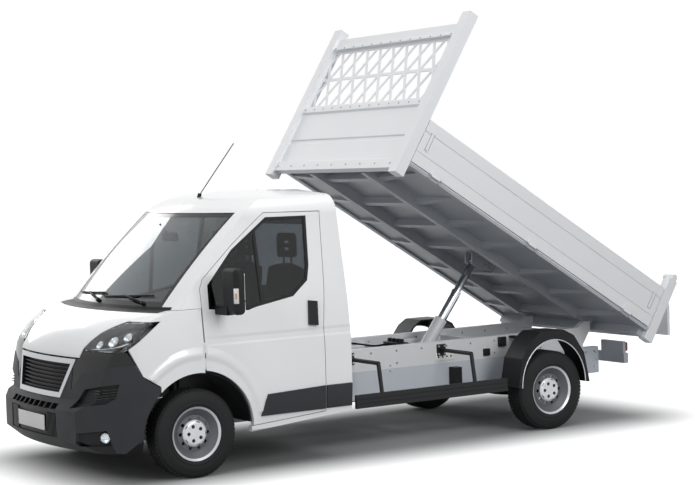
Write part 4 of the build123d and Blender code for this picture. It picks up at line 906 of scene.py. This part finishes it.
REFLECTORS = (
    # place on the lens, the way it faces, radius
    ((588, 837, 1081), (0.73, 0.22, 0.65), 46.0),
    ((515, 940, 1119), (0.67, 0.23, 0.71), 38.0),
    ((640, 705, 1055), (0.78, 0.20, 0.60), 34.0),
)
BULB = [(-29, 0), (-29, 9), (-14, 12), (-6, 9), (-3, 0)]
STRIP = ((687, 622, 1012), (640, 794, 1022), (586, 915, 1040), (520, 960, 1068))
bowls, bulbs = bmesh.new(), bmesh.new()
for side in (-1, 1):
    for (x, y, z), (nx, ny, nz), radius in REFLECTORS:
        outward = Vector((nx, side * ny, nz)).normalized()
        place = spot(x, side * y, z) - outward * LENS_GAP * MM
        outer = [(0, radius), (-5, radius), (-18, radius * 0.8), (-30, radius * 0.4), (-32, 0)]
        inner = [(-29, 0), (-27, radius * 0.38), (-16, radius * 0.74), (-2, radius * 0.94)]
        turned(bowls, outer + inner + outer[:1], place, outward, 32)
        turned(bulbs, BULB, place, outward, 20)
piece("headlamp_reflectors", bowls, "chassis", "lamp", hard_chrome)
piece("headlamp_bulbs", bulbs, "chassis", "lamp", lamp_white)
strips = [eased([spot(x, side * y, z) for x, y, z in STRIP]) for side in (-1, 1)]
show("headlamp_strips", tube("headlamp_strips", strips, 5, silver_trim), "chassis", "lamp")
print("headlamps:", len(shells), "shells,", 2 * len(REFLECTORS), "reflectors")

# %% [markdown]
# The door mirrors have their glass on the back in two panes, and a clear turn lamp with an amber middle on
# the outer corner. The inside mirror hangs from a stalk behind the windscreen.

# %% Mirrors
for hand, side in (("left", 1), ("right", -1)):
    body = NODES["mirror_" + hand]["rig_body"]
    panes = bmesh.new()
    soft_block(panes, spot(-300, side * 1205, 1450), (5, 166, 200), 2)
    soft_block(panes, spot(-300, side * 1205, 1300), (5, 166, 72), 2)
    piece("mirror_panes_" + hand, panes, body, "glass", mirror_silver)
    lamp = bmesh.new()
    corner_turn = Matrix.Rotation(side * math.radians(45), 4, "Z")
    soft_block(lamp, spot(-219, side * 1301, 1385), (14, 40, 116), 5, corner_turn)
    piece("turn_lamp_" + hand, lamp, body, "lamp", lamp_white)
    amber = bmesh.new()
    soft_block(amber, spot(-217, side * 1303, 1385), (14, 9, 44), 3, corner_turn)
    piece("turn_lamp_amber_" + hand, amber, body, "rear_lamp", lamp_amber)
inside = bmesh.new()
soft_block(inside, spot(-345, 0, 1800), (34, 240, 72), 14)
turned(inside, [(0, 0), (0, 9), (120, 7), (120, 0)], spot(-330, 0, 1815), (0.62, 0, 0.78), 16)
piece("inside_mirror", inside, "chassis", "cabin_plastic", cabin_plastic)
print("mirrors: 3")

# %% [markdown]
# The sheet round a front wheel arch is pressed outwards into a flare. It is a thin skin over the wing and
# over the door: rays from the side find the sheet at each point of a fan round the wheel, and the skin
# stands proud of it along a crest and sinks into it on both sides. The part on the door is its own piece,
# since it swings, and the part on the wing ends a little ahead of the door, which needs that room.

# %% Arch flares
# The fan's middle and squash, its rings, how far the skin stands out or sinks in, and where it may lie.
FLARE_X, FLARE_Z, FLARE_SQUASH = -20.0, 341.0, 0.92
FLARE_INNER, FLARE_CREST, FLARE_OUTER = 506, 553, 612
FLARE_PROUD, FLARE_TUCK, FLARE_SUNK, FLARE_END = 10.0, 0.3, 1.5, -68
FLARE_FACING, FLARE_RAY = 0.8, 1600
FLARE_RINGS = [FLARE_INNER + step for step in range(0, FLARE_OUTER - FLARE_INNER + 1, 7)]
FLARE_TURNS = [math.radians(v / 2) for v in range(20, 341, 3)]


def flare(name, side, body):
    """The part of one side's flare that lies on one solid, as a closed skin."""
    skin, outward = skin_of(name), LEFT * side
    shape, grid = bmesh.new(), {}
    for column, turn in enumerate(FLARE_TURNS):
        for row, radius in enumerate(FLARE_RINGS):
            x = FLARE_X + radius * math.cos(turn)
            z = FLARE_Z + radius * math.sin(turn) / FLARE_SQUASH
            place, facing, _, _ = skin.ray_cast(spot(x, side * FLARE_RAY, z), -outward)
            clear = x > FLARE_END or body != "chassis"
            if place is not None and facing.y * side > FLARE_FACING and clear:
                far = FLARE_INNER if radius < FLARE_CREST else FLARE_OUTER
                near = (radius - far) / (FLARE_CREST - far)
                rise = near * near * (3 - 2 * near)
                grid[column, row] = [shape.verts.new(place + outward * height * MM)
                                     for height in (FLARE_PROUD * rise - FLARE_TUCK, -FLARE_SUNK)]
    for (column, row) in list(grid):
        around = [(column, row), (column + 1, row), (column + 1, row + 1), (column, row + 1)]
        if all(key in grid for key in around):
            for level in (0, 1):
                shape.faces.new([grid[key][level] for key in around])
    pairs = {pair[0]: pair[1] for pair in grid.values()}
    for line in [line for line in shape.edges if line.is_boundary and line.verts[0] in pairs]:
        start, end = line.verts
        shape.faces.new((start, end, pairs[end], pairs[start]))
    loose = [corner for corner in shape.verts if not corner.link_faces]
    bmesh.ops.delete(shape, geom=loose, context="VERTS")
    hand = "_left" if side > 0 else "_right"
    return piece("arch_flare_" + name + hand, shape, body, "cab_paint", white_enamel)


flares = []
for side, hand in ((1, "left"), (-1, "right")):
    flares.append(flare("front_wings", side, "chassis"))
    flares.append(flare("door_" + hand, side, "door_" + hand))
print("flare corners:", [len(made.data.vertices) for made in flares])

# %% [markdown]
# Two wipers lie along the foot of the windscreen, so they follow its curve: rays from ahead find the glass,
# and a blade and an arm are tubes at a small height over it. The rubbing strip on each door goes on behind
# it, as a slab that leans as the side of the cab does.

# %% Wipers and rubbing strips
screen_skin = skin_of("windscreen")


def on_screen(y, z, proud):
    """A place some millimetres over the windscreen, at y and z as seen from ahead."""
    place, facing, _, _ = screen_skin.ray_cast(spot(RAY_START, y, z), BACK)
    return place + facing * (proud if facing.x > 0 else -proud) * MM


WIPERS = (
    # ends of the blade and the arm's pivot, across the truck
    (-20, 640, 575),
    (-660, -40, -95),
)
BLADE_FOOT, BLADE_RISE, BLADE_PROUD, ARM_FOOT = 1352, 26, 11, 1322
BOSS = [(0, 0), (0, 17), (20, 17), (26, 12), (26, 0)]
blades, arms, bosses = [], [], bmesh.new()
for start, end, pivot in WIPERS:
    middle = (start + end) / 2
    blades.append([on_screen(y, BLADE_FOOT + BLADE_RISE * (y - start) / (end - start), BLADE_PROUD)
                   for y in range(start, end + 1, 20)])
    arms.append(eased([on_screen(pivot, ARM_FOOT, 12), on_screen((pivot + middle) / 2, 1342, 30),
                       on_screen(middle, 1365, 20)]))
    turned(bosses, BOSS, on_screen(pivot, ARM_FOOT, -2), (0.77, 0, 0.63), 20)
wipers = show("wiper_blades", tube("wiper_blades", blades, 7, trim_plastic), "chassis", "trim_plastic")
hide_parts("wipers")
show("wiper_arms", tube("wiper_arms", arms, 8, trim_plastic), "chassis", "trim_plastic")
piece("wiper_bosses", bosses, "chassis", "trim_plastic", trim_plastic)
strips = bmesh.new()
for side in (-1, 1):
    lean = Matrix.Rotation(side * math.radians(-5), 4, "X")
    soft_block(strips, spot(-1276, side * 1019, 513), (238, 22, 184), 6, lean)
piece("rubbing_strips", strips, "chassis", "trim_plastic", bumper_plastic)
print("wipers:", len(blades), "rubbing strips: 2")

# %% [markdown]
# Seats are foam under cloth: their corners pull in, their faces crown, and sewn channels cross them. A cube
# whose faces are split into a grid is rounded part of the way to a ball, crowned on its wide faces, and
# pressed in along the channels. A headrest is built up from soft bars with two openings between them.

# %% Seat pads
# Shares of a pad's half size: rounding, crown, channel depth and width, and the rolls along its edges.
PAD_ROUND, PAD_CROWN, SEAM_DEEP, SEAM_WIDE = 0.34, 0.16, 0.16, 0.05
ROLL_TALL, ROLL_AT, ROLL_WIDE = 0.10, 0.78, 0.16
PAD_CUTS = 23


def cushion(shape, middle, size, turn, channels):
    """Adds a stuffed pad: its wide faces look along its own z, and channels run along its own x."""
    pad = bmesh.new()
    bmesh.ops.create_cube(pad, size=2.0)
    bmesh.ops.subdivide_edges(pad, edges=pad.edges, cuts=PAD_CUTS, use_grid_fill=True)
    for corner in pad.verts:
        x, y, z = corner.co
        ball = Vector((x * math.sqrt(1 - y * y / 2 - z * z / 2 + y * y * z * z / 3),
                       y * math.sqrt(1 - z * z / 2 - x * x / 2 + z * z * x * x / 3),
                       z * math.sqrt(1 - x * x / 2 - y * y / 2 + x * x * y * y / 3)))
        soft = corner.co.lerp(ball, PAD_ROUND)
        soft.z += PAD_CROWN * z * (1 - x * x) * (1 - y * y)
        if z > 0.5:
            soft.z -= sum(SEAM_DEEP * math.exp(-((y - seam) / SEAM_WIDE) ** 2) for seam in channels)
            soft.z += ROLL_TALL * math.exp(-((abs(y) - ROLL_AT) / ROLL_WIDE) ** 2)
        corner.co = soft
    scale = Matrix.Diagonal((size[0] * MM / 2, size[1] * MM / 2, size[2] * MM / 2, 1.0))
    bmesh.ops.transform(pad, matrix=Matrix.Translation(middle) @ turn @ scale, verts=pad.verts)
    made = bpy.data.meshes.new("pad")
    pad.to_mesh(made)
    pad.free()
    shape.from_mesh(made)
    bpy.data.meshes.remove(made)


def headrest(shape, y):
    """Adds the bars of a headrest, with two openings between them."""
    for z, tall, wide in ((1768, 62, 216), (1698, 34, 220), (1630, 56, 236)):
        soft_block(shape, spot(-1170, y, z), (66, wide, tall), 15)
    for edge in (-1, 1):
        soft_block(shape, spot(-1170, y + edge * 96, 1694), (66, 54, 176), 22)


print("pads: cushion, headrest")

# %% [markdown]
# Three seats stand in a row, the driver's being the widest. A voxel remesh joins the bars of the headrests
# into one skin, which is then smoothed. The frames below are plain plastic. The pads stand for the plain
# seats among the solids.

# %% Seats
SEATS = (
    # y of the middle, width
    (450, 500),
    (-220, 460),
    (-670, 420),
)
SEAT_TILT = Matrix.Rotation(math.radians(-3), 4, "Y")
BACK_TILT = Matrix.Rotation(math.radians(-9.4), 4, "Y") @ Matrix.Rotation(math.radians(90), 4, "Y")
squabs, backs, rests, frames = bmesh.new(), bmesh.new(), bmesh.new(), bmesh.new()
for y, width in SEATS:
    cushion(squabs, spot(-860, y, 858), (540, width - 6, 128), SEAT_TILT, (-0.45, 0.45))
    cushion(backs, spot(-1118, y, 1238), (640, width - 14, 112), BACK_TILT, (-0.5, 0.5))
    headrest(rests, y)
    soft_block(frames, spot(-860, y, 625), (440, width - 100, 346), 20)
    for post in (-60, 60):
        turned(frames, [(0, 0), (0, 8), (90, 8), (90, 0)], spot(-1175, y + post, 1535), (0, 0, 1), 12)
pads = [piece("seat_squabs", squabs, "chassis", "seat_cloth", seat_cloth, 60),
        piece("seat_backs", backs, "chassis", "seat_cloth", seat_cloth, 60)]
fused = in_scene("fused", mesh_of("fused", rests, 30))
skin = fused.modifiers.new("skin", "REMESH")
skin.mode = "VOXEL"
skin.voxel_size = 6 * MM
skin.use_smooth_shade = True
eased_skin = fused.modifiers.new("eased", "SMOOTH")
eased_skin.iterations = 5
graph = bpy.context.evaluated_depsgraph_get()
rest_mesh = bpy.data.meshes.new_from_object(fused.evaluated_get(graph), depsgraph=graph)
bpy.data.objects.remove(fused)
pads.append(show("headrests", rest_mesh, "chassis", "seat_cloth", seat_cloth))
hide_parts("seats")
piece("seat_frames", frames, "chassis", "cabin_plastic", cabin_plastic)
print("seats:", len(SEATS), "corners in the pads:", [len(pad.data.vertices) for pad in pads])

# %% [markdown]
# At the back, each lamp is a black tray with lenses in red, amber and clear. They stand where the lamps'
# solid blocks are.

# %% Rear lamps
trays, reds, ambers, clears = bmesh.new(), bmesh.new(), bmesh.new(), bmesh.new()
for side in (-1, 1):
    soft_block(trays, spot(-4495, side * 640, 612.5), (30, 260, 85), 4)
    for lens, y, wide in ((reds, 740, 50), (ambers, 674, 70), (clears, 608, 50), (reds, 547, 62)):
        soft_block(lens, spot(-4517, side * y, 612.5), (26, wide, 75), 5)
rear = piece("rear_lamp_trays", trays, "chassis", "trim_plastic", trim_plastic)
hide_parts("rear_lamps")
piece("rear_lamp_red", reds, "chassis", "rear_lamp", lamp_red)
piece("rear_lamp_amber", ambers, "chassis", "rear_lamp", lamp_amber)
piece("rear_lamp_clear", clears, "chassis", "lamp", lamp_white)
print("rear lamps: 2")

# %% [markdown]
# The subframe carries small plates and brackets on both sides. Each is a block with soft edges. A plate has
# a row of holes, and a flat dark head at each place is painted shade that looks like one.

# %% Plates and brackets
PLATE_X, PLATE_Z = -2715, 655
BRACKETS = (
    # x and z of the middle, how far it stands out from the rail, size, edge
    (-3335, 735, 14, (80, 30, 84), 5),
    (-3165, 655, 10, (66, 22, 62), 4),
    (-4020, 700, 10, (60, 22, 70), 4),
)
plates, brackets = bmesh.new(), bmesh.new()
for side in (-1, 1):
    soft_block(plates, spot(PLATE_X, side * (RAIL_SIDE + 3), PLATE_Z), (190, 7, 70), 2)
    for x, z, out, size, edge in BRACKETS:
        soft_block(brackets, spot(x, side * (RAIL_SIDE + out), z), size, edge)
piece("hole_plates", plates, "chassis", "subframe_paint", plate_white)
piece("guard_brackets", brackets, "chassis", "black_steel", black_steel)
hole_shade_dots = [(spot(PLATE_X + x, side * (RAIL_SIDE + 7), PLATE_Z), LEFT * side) for side in (-1, 1)
        for x in (-66, -22, 22, 66)]
heads("painted_hole_shade", hole_shade_dots, "chassis", "black_steel", 12, 9, 3, black_steel)
print("brackets:", 2 * len(BRACKETS), "holes:", len(hole_shade_dots))

# %% [markdown]
# Each mudguard has a flat lip on its outer side, between its own edge and a smooth arch, with a bright bead
# along the arch. The lip is a strip of four-sided rings that step along both lines together, and the bead is
# a tube along the inner one.

# %% Mudguard lips
GUARD_EDGE = ((-3070, 396), (-3120, 640), (-3240, 800), (-3330, 855), (-3580, 855), (-3690, 800),
              (-3800, 640), (-3854, 382))
ARCH_X, ARCH_Z, ARCH_LONG, ARCH_TALL = -3461, 390, 347, 388
LIP_BACK, LIP_FACE, BEAD_AT, LIP_STEPS = 1019, 1024, 1022, 48
lips, beads = bmesh.new(), []
for side in (-1, 1):
    rows, bead = [], []
    for step in range(LIP_STEPS + 1):
        angle = math.pi * step / LIP_STEPS
        inner = (ARCH_X + ARCH_LONG * math.cos(angle), ARCH_Z + ARCH_TALL * math.sin(angle))
        along = step / LIP_STEPS * (len(GUARD_EDGE) - 1)
        first = min(int(along), len(GUARD_EDGE) - 2)
        (x_from, z_from), (x_to, z_to) = GUARD_EDGE[first], GUARD_EDGE[first + 1]
        outer = (x_from + (x_to - x_from) * (along - first), z_from + (z_to - z_from) * (along - first))
        ring = ((LIP_BACK, outer), (LIP_FACE, outer), (LIP_FACE, inner), (LIP_BACK, inner))
        rows.append([lips.verts.new(spot(x, side * y, z)) for y, (x, z) in ring])
        bead.append(spot(inner[0], side * BEAD_AT, inner[1]))
    beads.append(bead)
    for here, after in zip(rows, rows[1:]):
        for index in range(4):
            lips.faces.new((here[index - 1], here[index], after[index], after[index - 1]))
    lips.faces.new(rows[0])
    lips.faces.new(rows[-1])
piece("mudguard_lips", lips, "chassis", "black_steel", trim_plastic)
show("mudguard_beads", tube("mudguard_beads", beads, 5, wheel_lacquer), "chassis", "black_steel")
print("lips:", len(beads))

# %% [markdown]
# The hydraulic pack between the rails feeds the ram through rubber hoses. A hose leaves its fitting straight
# and then bends gently, and the return lies on the tank, so each line is a short list of places that is eased
# into a smooth curve. The pump's motor and the valve block are turned pieces and a soft block.

# %% Hoses and valve block
HOSE_LINES = (
    # pump to valve block, valve block to the ram's bracket, and the return that rests on the tank
    ((-1680, 186, 700), (-1684, 240, 698), (-1720, 305, 696), (-1800, 336, 694), (-1950, 338, 696),
     (-2120, 322, 708), (-2250, 285, 742), (-2352, 250, 772)),
    ((-2438, 250, 772), (-2520, 252, 762), (-2620, 248, 744), (-2720, 234, 738), (-2806, 215, 738)),
    ((-1752, -140, 772), (-1800, -122, 787), (-1850, -82, 801), (-1930, 0, 800), (-2010, 80, 800),
     (-2100, 122, 784), (-2220, 132, 766), (-2352, 130, 772)),
)
HOSE_RADIUS = 9
MOTOR = [(0, 0), (0, 62), (10, 70), (50, 72), (55, 68), (150, 68), (155, 74), (175, 74), (180, 60), (180, 0)]
VALVE = [(0, 0), (0, 20), (50, 20), (54, 16), (54, 0)]
FILLER = [(0, 0), (0, 34), (18, 34), (22, 28), (22, 0)]
UPWARDS = (0, 0, 1)
hoses = [eased([spot(*place) for place in line]) for line in HOSE_LINES]
show("hydraulic_hoses", tube("hydraulic_hoses", hoses, HOSE_RADIUS, hose_rubber), "chassis", "black_steel")
pump, cap = bmesh.new(), bmesh.new()
turned(pump, MOTOR, spot(-1680, -20, 690), LEFT, 40)
for y in (90, 150, 210, 270):
    turned(pump, VALVE, spot(-2395, y, 766), UPWARDS, 20)
soft_block(pump, spot(-2395, 180, 765), (92, 260, 52), 5)
piece("pump_motor", pump, "chassis", "black_steel", black_steel)
turned(cap, FILLER, spot(-1930, -170, 788), UPWARDS, 24)
piece("reservoir_cap", cap, "chassis", "black_steel", trim_plastic)
lengths = [sum((b - a).length for a, b in zip(line, line[1:])) for line in hoses]
print("hose lengths in metres:", [round(length, 2) for length in lengths])

# %% [markdown]
# The truck stands in a plain pale studio: a large soft light above, and smaller ones in front, behind and at
# both sides. The one on the left stands where the door's glass doesn't mirror it into the camera.

# %% Lights
def soft_light(name, place, target, size, power):
    """A square soft light at a place, turned to a target."""
    data = bpy.data.lights.new(name, "AREA")
    data.shape = "SQUARE"
    data.size = size
    data.energy = power
    lamp = in_scene(name, data)
    lamp.location = place
    lamp.rotation_euler = (Vector(target) - Vector(place)).to_track_quat("-Z", "Y").to_euler()


MIDDLE = (0, 0, 1.2)
LIGHTS = (
    # name, place and size in metres, power in watts
    ("overhead", (0.5, 2.0, 8.5), 8.0, 295),
    ("front", (10.0, 4.0, 4.5), 5.0, 190),
    ("left", (-0.5, 11.5, 5.5), 5.0, 490),
    ("right", (1.0, -11.5, 5.5), 5.0, 260),
    ("back", (-11.0, -2.0, 5.0), 5.0, 220),
)
for name, place, size, power in LIGHTS:
    soft_light(name, place, MIDDLE, size, power)
print("lights:", len(LIGHTS))

# %% [markdown]
# The camera sees the floor grey under the truck, where the shadow lies, and glowing white further out, by
# the distance from a rectangle under the truck, so that the floor runs into the white background with no
# horizon. Where it doesn't glow, under the truck, the floor is painted shade on top of the real shadow. For
# light that bounces up from it, the floor is a plain grey. A ray knows what it was sent for, so one function
# tells the camera's rays, mirror images and views through glass from rays that only carry light.

# %% Floor
def seen_directly(tree):
    """One for rays from the camera, mirror images and views through glass, and zero for others."""
    ray = add_node(tree, "ShaderNodeLightPath").outputs
    images = add_node(tree, "ShaderNodeMath", {0: ray["Is Glossy Ray"], 1: ray["Is Transmission Ray"]},
                      operation="MAXIMUM")
    return add_node(tree, "ShaderNodeMath", {0: ray["Is Camera Ray"], 1: images.outputs[0]},
                    operation="MAXIMUM").outputs[0]


# The rectangle under the truck where the floor doesn't glow, as painted shade, and how the glow fades in, in
# metres.
PAINTED_SHADE_FOOTPRINT, FADE_FROM, FADE_TO, REACH = (2.3, 0.75, 0.0), 0.05, 1.15, 60.0
floor_mesh = bpy.data.meshes.new("studio_floor")
floor_mesh.from_pydata([(-REACH, -REACH, 0), (REACH, -REACH, 0), (REACH, REACH, 0), (-REACH, REACH, 0)], [],
                       [(0, 1, 2, 3)])
floor = in_scene("studio_floor", floor_mesh)
floor_paint, floor_tree = new_material("pale_studio_floor")
ground = add_node(floor_tree, "ShaderNodeTexCoord").outputs["Object"]
side_of = add_node(floor_tree, "ShaderNodeVectorMath", {0: ground}, operation="ABSOLUTE").outputs["Vector"]
past = add_node(floor_tree, "ShaderNodeVectorMath", {0: side_of, 1: PAINTED_SHADE_FOOTPRINT}, operation="SUBTRACT")
beside = add_node(floor_tree, "ShaderNodeVectorMath", {0: past.outputs["Vector"], 1: (0, 0, 0)},
                  operation="MAXIMUM")
out_from = add_node(floor_tree, "ShaderNodeVectorMath", {0: beside.outputs["Vector"]}, operation="LENGTH")
glow_outside_shade = soft_step(floor_tree, out_from.outputs["Value"], FADE_FROM, FADE_TO, 0.0, 1.0)
direct = seen_directly(floor_tree)
seen = add_node(floor_tree, "ShaderNodeMath", {0: direct, 1: glow_outside_shade}, operation="MULTIPLY")
floor_tone = add_node(floor_tree, "ShaderNodeMix", {0: direct, 6: linear("8A8B8C"), 7: linear("9C9D9E")},
                      data_type="RGBA")
floor_body = add_node(floor_tree, "ShaderNodeBsdfPrincipled", {"Base Color": floor_tone.outputs[2],
                                                               "Roughness": 0.9, "Specular IOR Level": 0.0,
                                                               "Emission Color": (1, 1, 1, 1),
                                                               "Emission Strength": seen.outputs[0]})
add_node(floor_tree, "ShaderNodeOutputMaterial", {"Surface": floor_body.outputs["BSDF"]})
floor_mesh.materials.append(floor_paint)
print("floor:", 2 * REACH, "m wide")

# %% [markdown]
# The world gives a little light from all around. Seen by the camera, in a mirror or through glass, it is
# white.

# %% World
WORLD_LIGHT = 0.30
world = bpy.data.worlds.new("studio")
bpy.context.scene.world = world
world.use_nodes = True
sky = world.node_tree
sky.nodes.clear()
level = add_node(sky, "ShaderNodeMapRange", {"Value": seen_directly(sky), "To Min": WORLD_LIGHT,
                                             "To Max": 1.0})
glow = add_node(sky, "ShaderNodeBackground", {"Color": (1, 1, 1, 1), "Strength": level.outputs["Result"]})
add_node(sky, "ShaderNodeOutputWorld", {"Surface": glow.outputs["Background"]})
print("world light:", WORLD_LIGHT)
